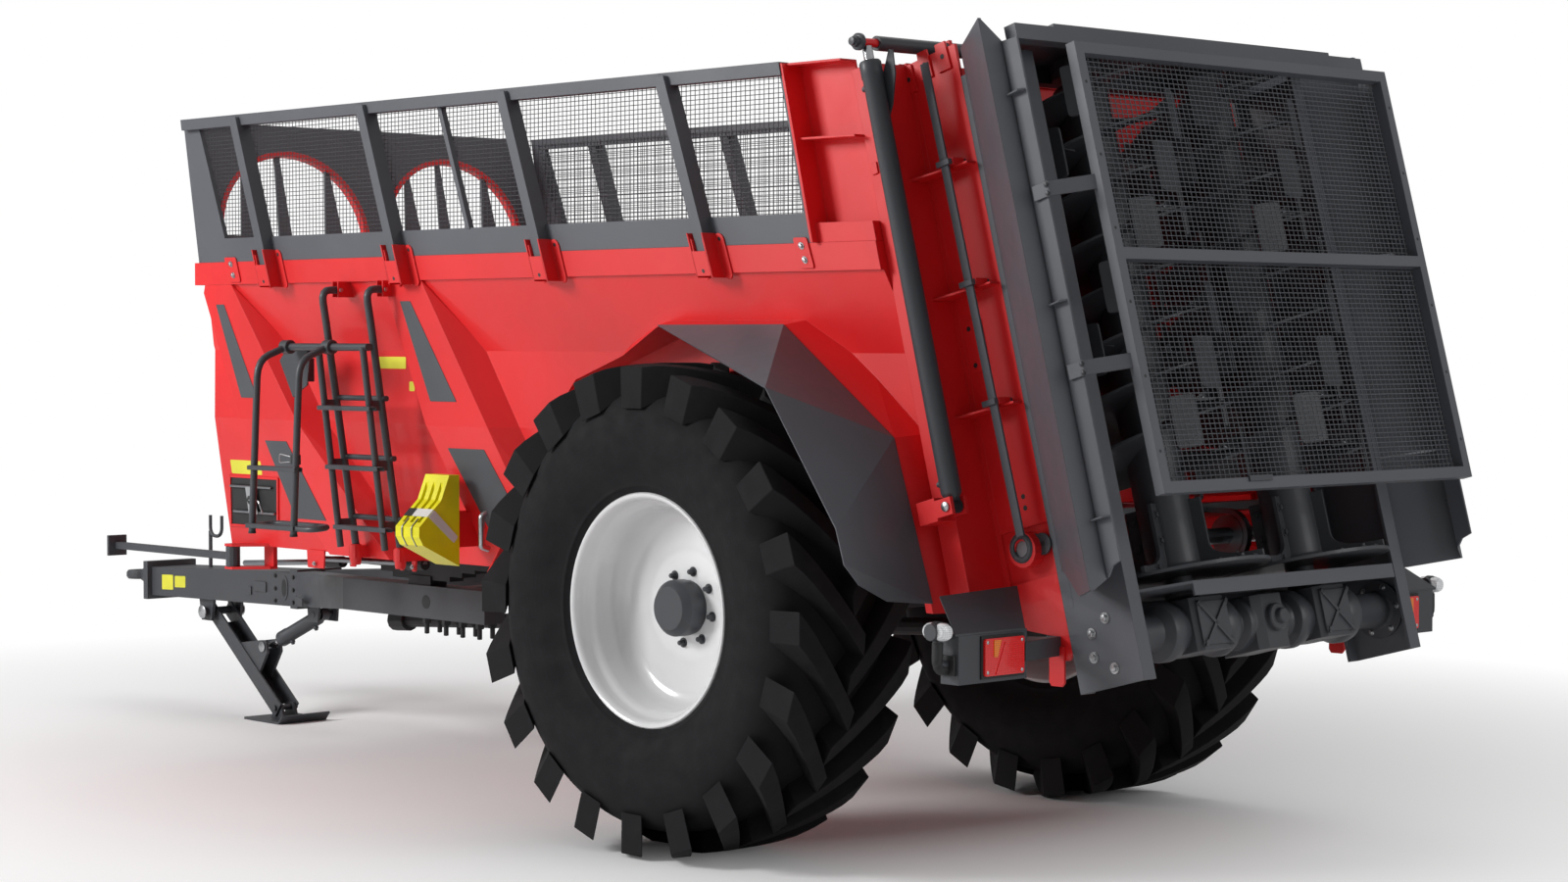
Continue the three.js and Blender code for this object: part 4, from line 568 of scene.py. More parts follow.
def tyre_carcass():
    """Outer skin from bead to bead and an inner skin back, as a closed profile of radius and half width."""
    top = sizes().lug_base
    outer = [(0.470, 0.172), (0.417, 0.180), (0.417, 0.186), (0.4305, 0.196), (0.4305, 0.209),
             (0.447, 0.220), (0.452, 0.226), (0.462, 0.2265), (0.470, 0.2285), (0.515, 0.2490),
             (0.560, 0.2655), (0.610, 0.2765), (0.660, 0.2795), (0.705, 0.2740), (0.742, 0.2580),
             (0.772, 0.2350), (0.795, 0.2030), (top - 0.006, 0.1500), (top - 0.001, 0.0800),
             (top, 0.0001)]
    outer = np.asarray(outer)
    inner = [(0.60, 0.240), (0.70, 0.235), (0.755, 0.180), (0.780, 0.090), (0.785, 0.0001)]
    inner = np.asarray(inner)
    ring = np.concatenate([outer, (outer * [1, -1])[::-1], inner * [1, -1], inner[::-1]])
    return revolve(ring, 96, closed=True)


def tyre_lugs():
    """Staggered chevron bars. Along a bar u runs 0 to 1 from the middle to the shoulder, the half width y
    grows with u, the angle falls by the sweep, and the section is a four-cornered block in polar form."""
    count = sizes().lugs
    u = np.linspace(0, 1, 10)
    y = -0.028 + 0.3035 * u
    sweep = 0.40 * (1 - u)
    low = np.where(u < 0.8, sizes().lug_base - 0.03, np.interp(u, [0.8, 1], [0.78, 0.735]))
    high = TYRE_R - 0.0006 - 0.010 * u**6
    half_top = (0.041 + 0.019 * u**1.5) / TYRE_R
    half_low = (0.050 + 0.018 * u**1.5) / TYRE_R
    shoulder = 0.004 * (u > 0.99)
    angle = sweep[:, None] + np.stack([-half_low, -half_top, half_top, half_low], -1)
    radius = np.stack([low, high - shoulder, high - shoulder, low], -1)
    pieces = []
    for side, lead in ((1, 0.0), (-1, 0.5)):
        start = (np.arange(count) + lead) * 2 * math.pi / count
        a = start[:, None, None] + angle[None]
        points = np.stack([radius * np.cos(a), radius * np.sin(a), side * y[None, :, None] + 0 * a], -1)
        n = 4 * len(u)
        faces = [grid_faces(len(u), 4), np.arange(4)[None, ::-1], np.arange(4)[None] + n - 4]
        shift = np.arange(count)[:, None, None] * n
        pieces.append((points.reshape(-1, 3), [(f[None] + shift).reshape(-1, f.shape[1]) for f in faces]))
    return pieces


class SPREADER_OT_tyres(MIXIN_piece, bpy.types.Operator):
    """Builds both tyres: a turned carcass and two staggered rows of swept lugs"""

    bl_idname = "spreader.tyres"
    bl_label = "Tyres"

    def make(self):
        for name, side in (("left", 1), ("right", -1)):
            skin = Skin(f"tractor_tyre_{name}", f"wheel_{name}", "tyre_rubber")
            skin.add(tyre_carcass(), FINISH["rubber"], about_axle(side))
            for lugs in tyre_lugs():
                skin.add(lugs, FINISH["rubber"], about_axle(side))
            skin.build(replaces=[f"tyre_{name}"], sharp=38, bevel=0.005)


class SPREADER_OT_wheels(MIXIN_piece, bpy.types.Operator):
    """Builds the deep dished rims with their nuts, and the hubs with their caps"""

    bl_idname = "spreader.wheels"
    bl_label = "Rims and hubs"

    def make(self):
        face = [(0.1000, 0.0000), (0.2000, 0.0000), (0.2200, 0.0020), (0.2400, 0.0080), (0.3050, 0.0080),
                (0.3300, 0.0130), (0.3520, 0.0260), (0.3640, 0.0450), (0.3700, 0.0700), (0.3760, 0.1250),
                (0.3800, 0.1400), (0.3880, 0.1500), (0.3940, 0.1560), (0.3985, 0.1640), (0.4020, 0.1850),
                (0.4045, 0.1960), (0.4090, 0.2050), (0.4160, 0.2110), (0.4250, 0.2125), (0.4300, 0.2080)]
        back = [(0.4300, 0.1950), (0.4160, 0.1830), (0.4160, -0.1830), (0.4300, -0.1950),
                (0.4300, -0.2080), (0.4250, -0.2110), (0.4140, -0.2080), (0.3980, -0.1800),
                (0.3760, -0.1400), (0.3700, -0.0900), (0.3600, -0.0600), (0.3400, -0.0320),
                (0.3000, -0.0180), (0.1000, -0.0180)]
        cap = [(0.0001, -0.1260), (0.1750, -0.1260), (0.1750, -0.0183), (0.0997, -0.0183),
               (0.0997, 0.0203), (0.1040, 0.0203), (0.1040, 0.0700), (0.1020, 0.0760), (0.0820, 0.0975),
               (0.0790, 0.1000), (0.0001, 0.1000)]
        turn = np.arange(8) * math.pi / 4 + 0.2
        spots = np.stack([0.135 * np.cos(turn), 0.135 * np.sin(turn), 0 * turn], -1)
        for name, side in (("left", 1), ("right", -1)):
            rim = Skin(f"dished_rim_{name}", f"wheel_{name}", "white_paint")
            rim.add(revolve(face + back, 96, closed=True), FINISH["white"], about_axle(side))
            rim.build(replaces=[f"rim_{name}"], sharp=50)
            hub = Skin(f"wheel_hub_{name}", f"wheel_{name}", "dark_paint")
            hub.add(revolve(cap, 64), FINISH["dark"], about_axle(side))
            hub.add(copies(bolt(0.0125), spots), FINISH["dark"], about_axle(side))
            stud = revolve([(0.0001, 0.012), (0.0095, 0.012), (0.0095, 0.022), (0.007, 0.025),
                            (0.0001, 0.025)], 12)
            hub.add(copies(stud, spots), FINISH["dark"], about_axle(side))
            hub.build(replaces=[f"hub_{name}"], sharp=35)


# ---------------------------------------------------------------- wire mesh


def wires(starts, ends, radius, sides=6):
    """Straight round wires between paired points: a ring of corners at each end, square to the wire."""
    starts, ends = np.asarray(starts, float), np.asarray(ends, float)
    along = ends - starts
    along /= np.linalg.norm(along, axis=1, keepdims=True)
    helper = np.where(np.abs(along[:, 1:2]) < 0.9, [[0, 1.0, 0]], [[1.0, 0, 0]])
    across = np.cross(along, helper)
    across /= np.linalg.norm(across, axis=1, keepdims=True)
    third = np.cross(along, across)
    ring = circle(radius, sides)
    disc = ring[None, :, :1] * across[:, None] + ring[None, :, 1:] * third[:, None]
    points = np.concatenate([starts[:, None] + disc, ends[:, None] + disc], 1)
    shift = np.arange(len(starts))[:, None, None] * 2 * sides
    shapes = [grid_faces(2, sides), np.arange(sides)[None, ::-1], np.arange(sides)[None] + sides]
    return points.reshape(-1, 3), [(f[None] + shift).reshape(-1, f.shape[1]) for f in shapes]


class SPREADER_OT_mesh(MIXIN_piece, bpy.types.Operator):
    """Builds the welded wire mesh of the extensions and of the guard"""

    bl_idname = "spreader.mesh"
    bl_label = "Wire mesh"

    def make(self):
        s = sizes()
        low, high = corners("extension_mesh_left")
        y_in, y_out = low[1] + s.wire, high[1] - s.wire
        z0, z1 = low[2], high[2]
        rear = (-0.573 + AXLE_X, -0.434 + AXLE_X)
        front = (3.2317 + AXLE_X, 3.450 + AXLE_X)
        x = np.arange(rear[0] + 0.012, front[1] - 0.01, s.mesh_across)
        top = np.interp(x, rear, (z0, z1))
        foot = np.interp(x, front, (z0, z1))
        keep = top - foot > 0.01
        x, top, foot = x[keep], top[keep], foot[keep]
        upright = wires(np.stack([x, 0 * x + y_out, foot], -1), np.stack([x, 0 * x + y_out, top], -1), s.wire)
        z = np.arange(z0 + 0.008, z1, s.mesh_up)
        xr, xf = np.interp(z, (z0, z1), rear), np.interp(z, (z0, z1), front)
        level = wires(np.stack([xr, 0 * z + y_in, z], -1), np.stack([xf, 0 * z + y_in, z], -1), s.wire)
        for name, flip in (("left", False), ("right", True)):
            skin = Skin(f"extension_wire_{name}", "frame", "grey_paint")
            skin.add(upright, FINISH["dark"], flip=flip).add(level, FINISH["dark"], flip=flip)
            skin.build(replaces=[f"extension_mesh_{name}"])
        x_out, x_in = -0.5547 + s.guard_wire, -0.5507 - s.guard_wire
        half, s0, s1 = 0.850, 0.575, 2.075
        y = np.arange(-half + 0.01, half, s.mesh_across)
        z = np.arange(s0 + 0.01, s1, s.mesh_up)
        one = np.ones_like
        skin = Skin("guard_wire", "frame", "grey_paint")
        skin.add(wires(np.stack([x_in * one(y), y, s0 * one(y)], -1),
                       np.stack([x_in * one(y), y, s1 * one(y)], -1),
                       s.guard_wire), FINISH["grey"], on_deck)
        skin.add(wires(np.stack([x_out * one(z), -half * one(z), z], -1),
                       np.stack([x_out * one(z), half * one(z), z], -1), s.guard_wire), FINISH["grey"],
                       on_deck)
        skin.build(replaces=["guard_mesh"])


# ---------------------------------------------------------------- beaters

BEATER_X, BEATER_Y, BEATER_R, TUBE_R = -0.150, 0.342, 0.325, 0.095
SPIRAL_LOW, SPIRAL_HIGH = 0.690, 2.090


def spiral(low, high, r0, r1, turns, thick, steps=40):
    """A helicoid band: angle and height grow evenly with u; its section is a thin rectangle, r0 to r1."""
    n = int(steps * turns) + 1
    u = np.linspace(0, 1, n)
    a, h = u * turns * 2 * math.pi, low + u * (high - low - thick)
    r = np.array([r0, r0, r1, r1])
    z = np.array([0, thick, thick, 0])
    points = np.stack([r * np.cos(a)[:, None], r * np.sin(a)[:, None], h[:, None] + z], -1)
    return points.reshape(-1, 3), [grid_faces(n, 4), np.arange(4)[None, ::-1],
                                   np.arange(4)[None] + 4 * (n - 1)]


def knife_blade():
    """A nearly square-ended plate standing in YZ, x its thickness: straight edges joined by corner curves."""
    a = np.linspace(0, math.pi, 9)
    y, z = np.cos(a), np.sin(a)
    y, z = 0.050 * np.sign(y) * np.abs(y) ** 0.35, 0.030 * z**0.35
    outline = np.concatenate([np.c_[y, 0.055 + z], np.c_[-y, -0.066 - z]])
    return prism(outline, -0.006, 0.006)


def turned(shape, angle, r=0.0, height=0.0):
    """A shape whose X points out from an axis, set at the given angle, radius and height."""
    points, faces = shape
    c, s = math.cos(angle), math.sin(angle)
    p = points + [r, 0, height]
    return np.stack([p[:, 0] * c - p[:, 1] * s, p[:, 0] * s + p[:, 1] * c, p[:, 2]], -1), faces


def upright_plate(outline, half):
    """An outline of (out, up) as a plate in the XZ plane, thickened evenly about it."""
    points, faces = prism(outline, -half, half)
    return points[:, [0, 2, 1]], faces


class SPREADER_OT_beaters(MIXIN_piece, bpy.types.Operator):
    """Builds both beaters: tube, journal, disc, paddles, two spiral flights and bolted knives"""

    bl_idname = "spreader.beaters"
    bl_label = "Beaters"

    def make(self):
        s = sizes()
        tube = [(0.0001, 0.345), (BEATER_R, 0.345), (BEATER_R, 0.357), (0.150, 0.359), (0.150, 0.372),
                (TUBE_R + 0.008, 0.376), (TUBE_R, 0.386), (TUBE_R, 2.098), (TUBE_R - 0.012, 2.110),
                (0.052, 2.110), (0.036, 2.118), (0.036, 2.255), (0.0001, 2.255)]
        t = np.linspace(0, 1, 10)
        curve = np.c_[(1 - t) ** 2 * 0.320 + 2 * t * (1 - t) * 0.138 + t**2 * 0.138,
                      (1 - t) ** 2 * 0.380 + 2 * t * (1 - t) * 0.380 + t**2 * 0.440]
        paddle = upright_plate(np.concatenate([[(TUBE_R - 0.01, 0.352), (0.320, 0.352)], curve,
                                               [(0.138, 0.600), (TUBE_R - 0.01, 0.600)]]), 0.007)
        foot = box((0.140, -0.045, 0.357), (0.300, 0.0, 0.367))
        stud = bolt(0.011)
        side_bolts = copies(stud, [(0.116, 0.007, 0.56), (0.116, 0.007, 0.47), (0.190, 0.007, 0.376)],
                            [[1, 0, 0], [0, 0, -1], [0, 1, 0]])
        foot_bolts = copies(stud, [(0.170, -0.028, 0.367), (0.250, -0.028, 0.367)])
        for name, side in (("left", 1), ("right", -1)):
            def move(p, side=side):
                return on_deck(p + [BEATER_X, side * BEATER_Y, 0])
            skin = Skin(f"spiral_beater_{name}", f"beater_{name}", "dark_paint")
            skin.add(revolve(tube, 48), FINISH["dark"], move)
            flight = spiral(SPIRAL_LOW, SPIRAL_HIGH, TUBE_R - 0.004, BEATER_R - 0.022, s.flight_turns, 0.009)
            for start in (0.0, math.pi):
                skin.add(turned(flight, start), FINISH["dark"], move)
            for k in range(4):
                a = math.radians(90 * k + 20)
                for shape in (paddle, foot, side_bolts, foot_bolts):
                    skin.add(turned(shape, a), FINISH["dark"], move)
            for k in range(2 * s.knives):
                f = (k // 2 + 0.5) / s.knives
                height = SPIRAL_LOW + f * (SPIRAL_HIGH - SPIRAL_LOW - 0.014)
                a = f * s.flight_turns * 2 * math.pi + k % 2 * math.pi
                blade, blade_faces = knife_blade()
                blade = blade[:, [2, 0, 1]]
                skin.add(turned((blade, blade_faces), a, BEATER_R - 0.0175, height), FINISH["dark"], move)
                lug = box((-0.110, -0.036, 0.009), (-0.006, 0.036, 0.018))
                skin.add(turned(lug, a, BEATER_R - 0.0175, height), FINISH["dark"], move)
                web = upright_plate([(-0.100, 0.016), (-0.006, 0.016), (-0.006, 0.062)], 0.004)
                skin.add(turned(web, a, BEATER_R - 0.0175, height), FINISH["dark"], move)
                heads = copies(bolt(0.008), [(-0.06, -0.022, 0.018), (-0.06, 0.022, 0.018)])
                skin.add(turned(heads, a, BEATER_R - 0.0175, height), FINISH["steel"], move)
            skin.build(replaces=[f"beater_{name}", f"beater_fan_{name}"], sharp=35)


class SPREADER_OT_gearboxes(MIXIN_piece, bpy.types.Operator):
    """Builds the row of cast gearboxes under the beaters, with ribbed covers and bolted flanges"""

    bl_idname = "spreader.gearboxes"
    bl_label = "Gearboxes"

    def make(self):
        z = 0.165
        half = [(0.0001, 0.7627), (0.105, 0.7627), (0.105, 0.748), (0.070, 0.744), (0.064, 0.735),
                (0.062, 0.560), (0.066, 0.540), (0.100, 0.520), (0.104, 0.505), (0.104, 0.470),
                (0.098, 0.455), (0.092, 0.440), (0.092, 0.245), (0.098, 0.230), (0.104, 0.215),
                (0.104, 0.185), (0.098, 0.172), (0.072, 0.160), (0.066, 0.140), (0.066, 0.120),
                (0.090, 0.105), (0.094, 0.090), (0.094, 0.0)]
        half = np.asarray(half)
        line = np.concatenate([half, (half * [1, -1])[::-1][1:]])

        def across(p):
            return on_deck(np.stack([p[:, 0] + BEATER_X, p[:, 2], p[:, 1] + z], -1))
        skin = Skin("gearbox_row", "frame", "dark_paint")
        skin.add(revolve(line, 40), FINISH["dark"], across)
        neck = [(0.110, 0.0), (0.110, 0.012), (0.080, 0.020), (0.072, 0.100), (0.056, 0.110),
                (0.050, 0.1795), (0.0001, 0.1795), (0.0001, 0.0)]
        ring = np.arange(6) * math.pi / 3
        for side in (1, -1):
            y = side * BEATER_Y

            def housing(p, y=y):
                return on_deck(p + [BEATER_X, y, z])
            skin.add(prism([(-0.118, -0.070), (-0.100, -0.090), (0.070, -0.090), (0.088, -0.070),
                            (0.088, 0.070), (0.070, 0.090), (-0.100, 0.090),
                            (-0.118, 0.070)], -0.088, 0.095),
                     FINISH["dark"], housing)
            skin.add(revolve(neck, 36), FINISH["dark"], housing)
            cover = prism([(-0.078, -0.072), (0.078, -0.072), (0.078, 0.078), (-0.078, 0.078)], 0, 0.008)
            rib_a = [(-0.080, -0.074), (-0.070, -0.080), (0.082, 0.074), (0.072, 0.084)]
            rib_b = [(p[0] * -1, p[1]) for p in rib_a]

            def rear_face(p, y=y):
                return on_deck(np.stack([BEATER_X - 0.117 - p[:, 2], y + p[:, 0], z + p[:, 1]], -1))
            skin.add(cover, FINISH["dark"], rear_face)
            for rib in (rib_a, rib_b):
                skin.add(prism(rib, 0.006, 0.016), FINISH["dark"], rear_face)
            skin.add(copies(bolt(0.009), [(a, b, 0.007) for a in (-0.066, 0.066) for b in (-0.062, 0.066)]),
                     FINISH["dark"], rear_face)
            spots = np.stack([0.086 * np.cos(ring), 0.086 * np.sin(ring), 0 * ring], -1)
            skin.add(copies(bolt(0.0085), spots), FINISH["zinc"],
                     lambda p, s=side: on_deck(
                         np.stack([p[:, 0] + BEATER_X, s * (0.748 - p[:, 2]), p[:, 1] + z], -1)))
        skin.add(prism([(-0.110, -0.055), (-0.085, -0.086), (0.070, -0.086), (0.090, -0.06),
                        (0.090, 0.06), (0.070, 0.086), (-0.085, 0.086),
                        (-0.110, 0.055)], -0.105, 0.085), FINISH["dark"],
                 lambda p: on_deck(p + [BEATER_X, 0, z]))
        boss = [(0.0001, 0.050), (0.022, 0.050), (0.026, 0.046), (0.028, 0.028), (0.044, 0.026),
                (0.048, 0.020), (0.048, 0.0), (0.0001, 0.0)]
        skin.add(revolve(boss, 32), FINISH["dark"],
                 lambda p: on_deck(np.stack([BEATER_X - 0.108 - p[:, 2], p[:, 0], p[:, 1] + z], -1)))
        stub = [(0.0001, 0.0), (0.034, 0.0), (0.034, 0.1195), (0.0001, 0.1195)]
        skin.add(revolve(stub, 24), FINISH["steel"],
                 lambda p: on_deck(np.stack([BEATER_X + p[:, 2], p[:, 0], p[:, 1] + z], -1)))
        skin.build(replaces=["beater_gearboxes"], sharp=30, bevel=0.002)


# ---------------------------------------------------------------- rams

RAM_X, RAM_Y, RAM_LOW, RAM_LENGTH = 0.196, 1.003, 0.700, 1.645
GATE_TRAVEL = 1.150
JACK_BASE, JACK_EYE = np.array([3.900, 0.0, 0.545]), np.array([4.360, 0.0, 0.355])
PIN_R = 0.0156


def eye(r, half=0.022):
    """A bored ring about Y: a closed profile of bore and outside turned about Z, then laid over."""
    points, faces = revolve([(PIN_R, -half), (r - 0.002, -half), (r, 0.002 - half), (r, half - 0.002),
                             (r - 0.002, half), (PIN_R, half)], 32, closed=True)
    return points[:, [0, 2, 1]], faces


def ram_barrel(length, r, rod_r, eye_r):
    """Shapes of a hollow barrel along Z from its pin: turned tube and gland, bored eye, lug and two ports."""
    gland = r + 0.003
    tube = [(0.0001, 0.026), (0.024, 0.026), (r - 0.003, 0.040), (r, 0.046), (r, length - 0.062),
            (gland, length - 0.058), (gland, length - 0.006), (gland - 0.004, length),
            (rod_r + 0.002, length), (rod_r + 0.0006, length - 0.003), (rod_r + 0.0006, length - 0.040),
            (r - 0.008, length - 0.042), (r - 0.008, 0.070), (0.0001, 0.070)]
    port = [(0.0001, -0.006), (0.013, -0.006), (0.013, 0.010), (0.009, 0.011), (0.009, 0.018),
            (0.0045, 0.018), (0.0045, 0.010), (0.0001, 0.010)]
    ports = copies(revolve(port, 16), [(r, 0, 0.085), (r, 0, length - 0.085)], axes_along((1, 0, 0)))
    return [revolve(tube, 40), eye(eye_r), box((-0.017, -0.019, eye_r - 0.006), (0.017, 0.019, 0.040)), ports]


def ram_rod(start, end, r, eye_r):
    """A round rod along Z that runs into a bored eye at its end."""
    return revolve([(0.0001, start), (r, start), (r, end - 0.7 * eye_r), (0.0001, end - 0.7 * eye_r)],
                   32), eye(eye_r)


def on_jack_ram(points):
    """Points along Z laid on the line from the jack ram's base pin to its eye."""
    z = (JACK_EYE - JACK_BASE) / np.linalg.norm(JACK_EYE - JACK_BASE)
    y = np.array([0.0, 1.0, 0.0])
    return on_machine(points @ np.stack([np.cross(y, z), y, z]) + JACK_BASE)


class SPREADER_OT_rams(MIXIN_piece, bpy.types.Operator):
    """Builds the barrels and rods of the two gate rams and of the jack's ram"""

    bl_idname = "spreader.rams"
    bl_label = "Rams"

    def make(self):
        for name, side in (("left", 1), ("right", -1)):
            def move(p, side=side):
                return on_deck(p + [RAM_X, side * RAM_Y, RAM_LOW])
            barrel = Skin(f"gate_ram_barrel_{name}", "frame", "dark_paint")
            for shape in ram_barrel(RAM_LENGTH - 0.070, 0.036, 0.018, 0.024):
                barrel.add(shape, FINISH["dark"], move)
            pin = revolve([(0.0001, 0.0), (0.017, 0.0), (0.017, 0.006), (0.012, 0.009), (0.0001, 0.0095)], 24)
            barrel.add(copies(pin, [(0, side * 0.040, 0)], axes_along((0, side, 0))), FINISH["zinc"], move)
            barrel.build(replaces=[f"gate_barrel_{name}"], sharp=40)
            rod = Skin(f"gate_ram_rod_{name}", "gate", "plated_steel")
            shaft, ring = ram_rod(RAM_LENGTH - GATE_TRAVEL - 0.250, RAM_LENGTH, 0.018, 0.024)
            rod.add(shaft, FINISH["chrome"], move).add(ring, FINISH["dark"], move)
            rod.build(replaces=[f"gate_rod_{name}"], sharp=40)
        length = float(np.linalg.norm(JACK_EYE - JACK_BASE))
        barrel = Skin("jack_ram_barrel", "jack_barrel", "dark_paint")
        for shape in ram_barrel(length - 0.110, 0.036, 0.018, 0.030):
            barrel.add(shape, FINISH["dark"], on_jack_ram)
        barrel.build(replaces=["jack_barrel"], sharp=40)
        rod = Skin("jack_ram_rod", "jack_rod", "plated_steel")
        shaft, ring = ram_rod(length - 0.290, length, 0.018, 0.028)
        rod.add(shaft, FINISH["chrome"], on_jack_ram).add(ring, FINISH["dark"], on_jack_ram)
        rod.build(replaces=["jack_rod"], sharp=40)


# ---------------------------------------------------------------- ladder

LADDER_X, LADDER_W, FOLD_X, FOLD_W = 1.960, 0.320, 2.220, 0.310
BAR_Y, BAR_Z = 1.117, 1.850


def ladder_y(z):
    """Distance from the middle of the fixed ladder's inner tubes, straight in height."""
    return 0.945 + 0.145 * (z - 1.010) / 0.940


def tread(x0, x1, y, z):
    """A folded step open below, along X, with a row of raised ribs on its top."""
    section = [(-0.020, -0.009), (-0.020, 0.009), (0.020, 0.009), (0.020, -0.009), (0.0168, -0.009),
               (0.0168, 0.0058), (-0.0168, 0.0058), (-0.0168, -0.009)]
    rib = box((x0 + 0.004, -0.0015, 0.008), (x1 - 0.004, 0.0015, 0.0105))
    ribs = copies(rib, [(0, y + dy, z) for dy in (-0.013, -0.0045, 0.0045, 0.013)])
    return [tube_rings([(x0, y, z), (x1, y, z)], section), ribs]


class SPREADER_OT_ladder(MIXIN_piece, bpy.types.Operator):
    """Builds the fixed ladder of bent tubes and its folding section on the side bar"""

    bl_idname = "spreader.ladder"
    bl_label = "Ladder"

    def make(self):
        dark = FINISH["dark"]
        fixed = Skin("boarding_ladder", "frame", "dark_paint")
        for x in (LADDER_X, LADDER_X + LADDER_W):
            path = [(x, 1.014, 2.090), (x, 1.115, 2.090), (x, ladder_y(1.95), 1.95),
                    (x, ladder_y(1.01), 1.010)]
            fixed.add(bent_tube(path, 0.016, 0.055, 16), dark, on_machine)
            fixed.add(straight((x, ladder_y(BAR_Z) + 0.056, BAR_Z), (x, 1.023, 1.005), 0.0145, 14), dark,
                      on_machine)
            fixed.add(straight((x - 0.03, 1.032, 2.09), (x + 0.03, 1.032, 2.09), 0.009, 12), FINISH["zinc"],
                      on_machine)
            clip = box((x - 0.007, ladder_y(BAR_Z), BAR_Z - 0.014), (x + 0.007, BAR_Y, BAR_Z + 0.014))
            fixed.add(clip, dark, on_machine)
        for z in (1.595, 1.345, 1.090):
            y = ladder_y(z) + 0.078
            for shape in tread(LADDER_X - 0.045, LADDER_X + LADDER_W + 0.010, y, z):
                fixed.add(shape, dark, on_machine)
            back = straight((LADDER_X - 0.034, y - 0.078, z + 0.042),
                            (LADDER_X + LADDER_W, y - 0.078, z + 0.042), 0.012)
            fixed.add(back, dark, on_machine)
            for x in (LADDER_X, LADDER_X + LADDER_W):
                web = box((x - 0.006, y - 0.078, z - 0.008), (x + 0.006, y - 0.004, z + 0.034))
                fixed.add(web, dark, on_machine)
        end = FOLD_X + FOLD_W + 0.045
        fixed.add(straight((LADDER_X - 0.020, BAR_Y, BAR_Z), (end, BAR_Y, BAR_Z), 0.016, 20), dark,
                  on_machine)
        fixed.build(replaces=["ladder_fixed"], sharp=40, bevel=0.0015)
        fold = Skin("boarding_ladder_fold", "ladder_fold", "dark_paint")
        sleeve = [(0.0165, -0.026), (0.028, -0.026), (0.030, -0.024), (0.030, 0.024), (0.028, 0.026),
                  (0.0165, 0.026)]
        for x in (FOLD_X, FOLD_X + FOLD_W):
            path = [(x, BAR_Y + 0.026, BAR_Z - 0.008), (x, 1.267, 1.795), (x, 1.300, 1.070)]
            fold.add(bent_tube(path, 0.015, 0.075, 16), dark, on_machine)
            ring = copies(revolve(sleeve, 28, closed=True), [(x, BAR_Y, BAR_Z)], axes_along((1, 0, 0)))
            fold.add(ring, dark, on_machine)
            fold.add(straight((x, 1.300, 1.072), (x, 1.300, 1.062), 0.0165), FINISH["black"], on_machine)
        for z, dy in ((1.340, 0.171), (1.095, 0.181)):
            for shape in tread(FOLD_X - 0.020, FOLD_X + FOLD_W + 0.025, BAR_Y + dy, z):
                fold.add(shape, dark, on_machine)
        loop = [(2.505, 1.290, 1.096), (2.490, 1.205, 1.104), (2.090, 1.205, 1.104),
                (2.085, 1.292, 1.096), (2.215, 1.298, 1.096)]
        fold.add(bent_tube(loop, 0.0125, 0.06, 14), dark, on_machine)
        latch = box((2.205, 1.272, 1.362), (2.262, 1.284, 1.402))
        fold.add(latch, FINISH["black"], on_machine)
        wire = [(2.262, 1.287, 1.372), (2.335, 1.290, 1.366), (2.335, 1.290, 1.404), (2.262, 1.287, 1.394)]
        fold.add(bent_tube(wire, 0.0025, 0.010, 8), FINISH["zinc"], on_machine)
        fold.build(replaces=["ladder_fold"], sharp=40, bevel=0.0015)


# ---------------------------------------------------------------- hopper trim


def quad_plate(quad, thick, round_by=0.012, lift=0.0):
    """A plate over four corners: a rounded outline in (u, v) on their bilinear patch, raised by thick."""
    a, b, c, d = (np.asarray(q, float) for q in quad)
    across = (np.linalg.norm(b - a) + np.linalg.norm(c - d)) / 2
    down = (np.linalg.norm(d - a) + np.linalg.norm(c - b)) / 2
    ru, rv = round_by / across, round_by / down
    t = np.linspace(0, math.pi / 2, 5)
    s, k = np.sin(t), np.cos(t)
    u = np.concatenate([1 - ru + ru * k, ru - ru * s, ru - ru * k, 1 - ru + ru * s])
    v = np.concatenate([1 - rv + rv * s, 1 - rv + rv * k, rv - rv * s, rv - rv * k])
    u, v = u[:, None], v[:, None]
    patch = a * (1 - u) * (1 - v) + b * u * (1 - v) + c * u * v + d * (1 - u) * v
    normal = np.cross(c - a, d - b)
    normal /= np.linalg.norm(normal)
    n = len(patch)
    points = np.concatenate([patch + normal * lift, patch + normal * (lift + thick)])
    return points, [grid_faces(2, n), np.arange(n)[None, ::-1], np.arange(n)[None] + n]


def upper_crest(x, z):
    """A point on the outer face of a rib's upper half."""
    return x, 0.9885 + (z - 1.530) * 0.0168, z


def lower_crest(x, z):
    """A point on the outer face of a rib's lower half."""
    return x, 0.9885 - (1.530 - z) * 0.1776, z


def skirt(x, z):
    """A point on the side sheet below its lower fold."""
    return x, 0.890 - (1.530 - z) * 0.1552, z


def outward(quad):
    """The same four corners, ordered so that their normal points away from the middle."""
    a, b, c, d = (np.asarray(q, float) for q in quad)
    return quad if np.cross(c - a, d - b)[1] > 0 else quad[::-1]


STANCHIONS = (2.830, 1.875, 0.920, -0.035)
LEAN = 0.225 / 0.6027


def leaning(points, x):
    """Points of a bracket round a stanchion's foot, sheared forward with height, at machine x."""
    p = np.array(points, float)
    p[:, 0] += x + (p[:, 2] - 2.2553) * LEAN
    return p


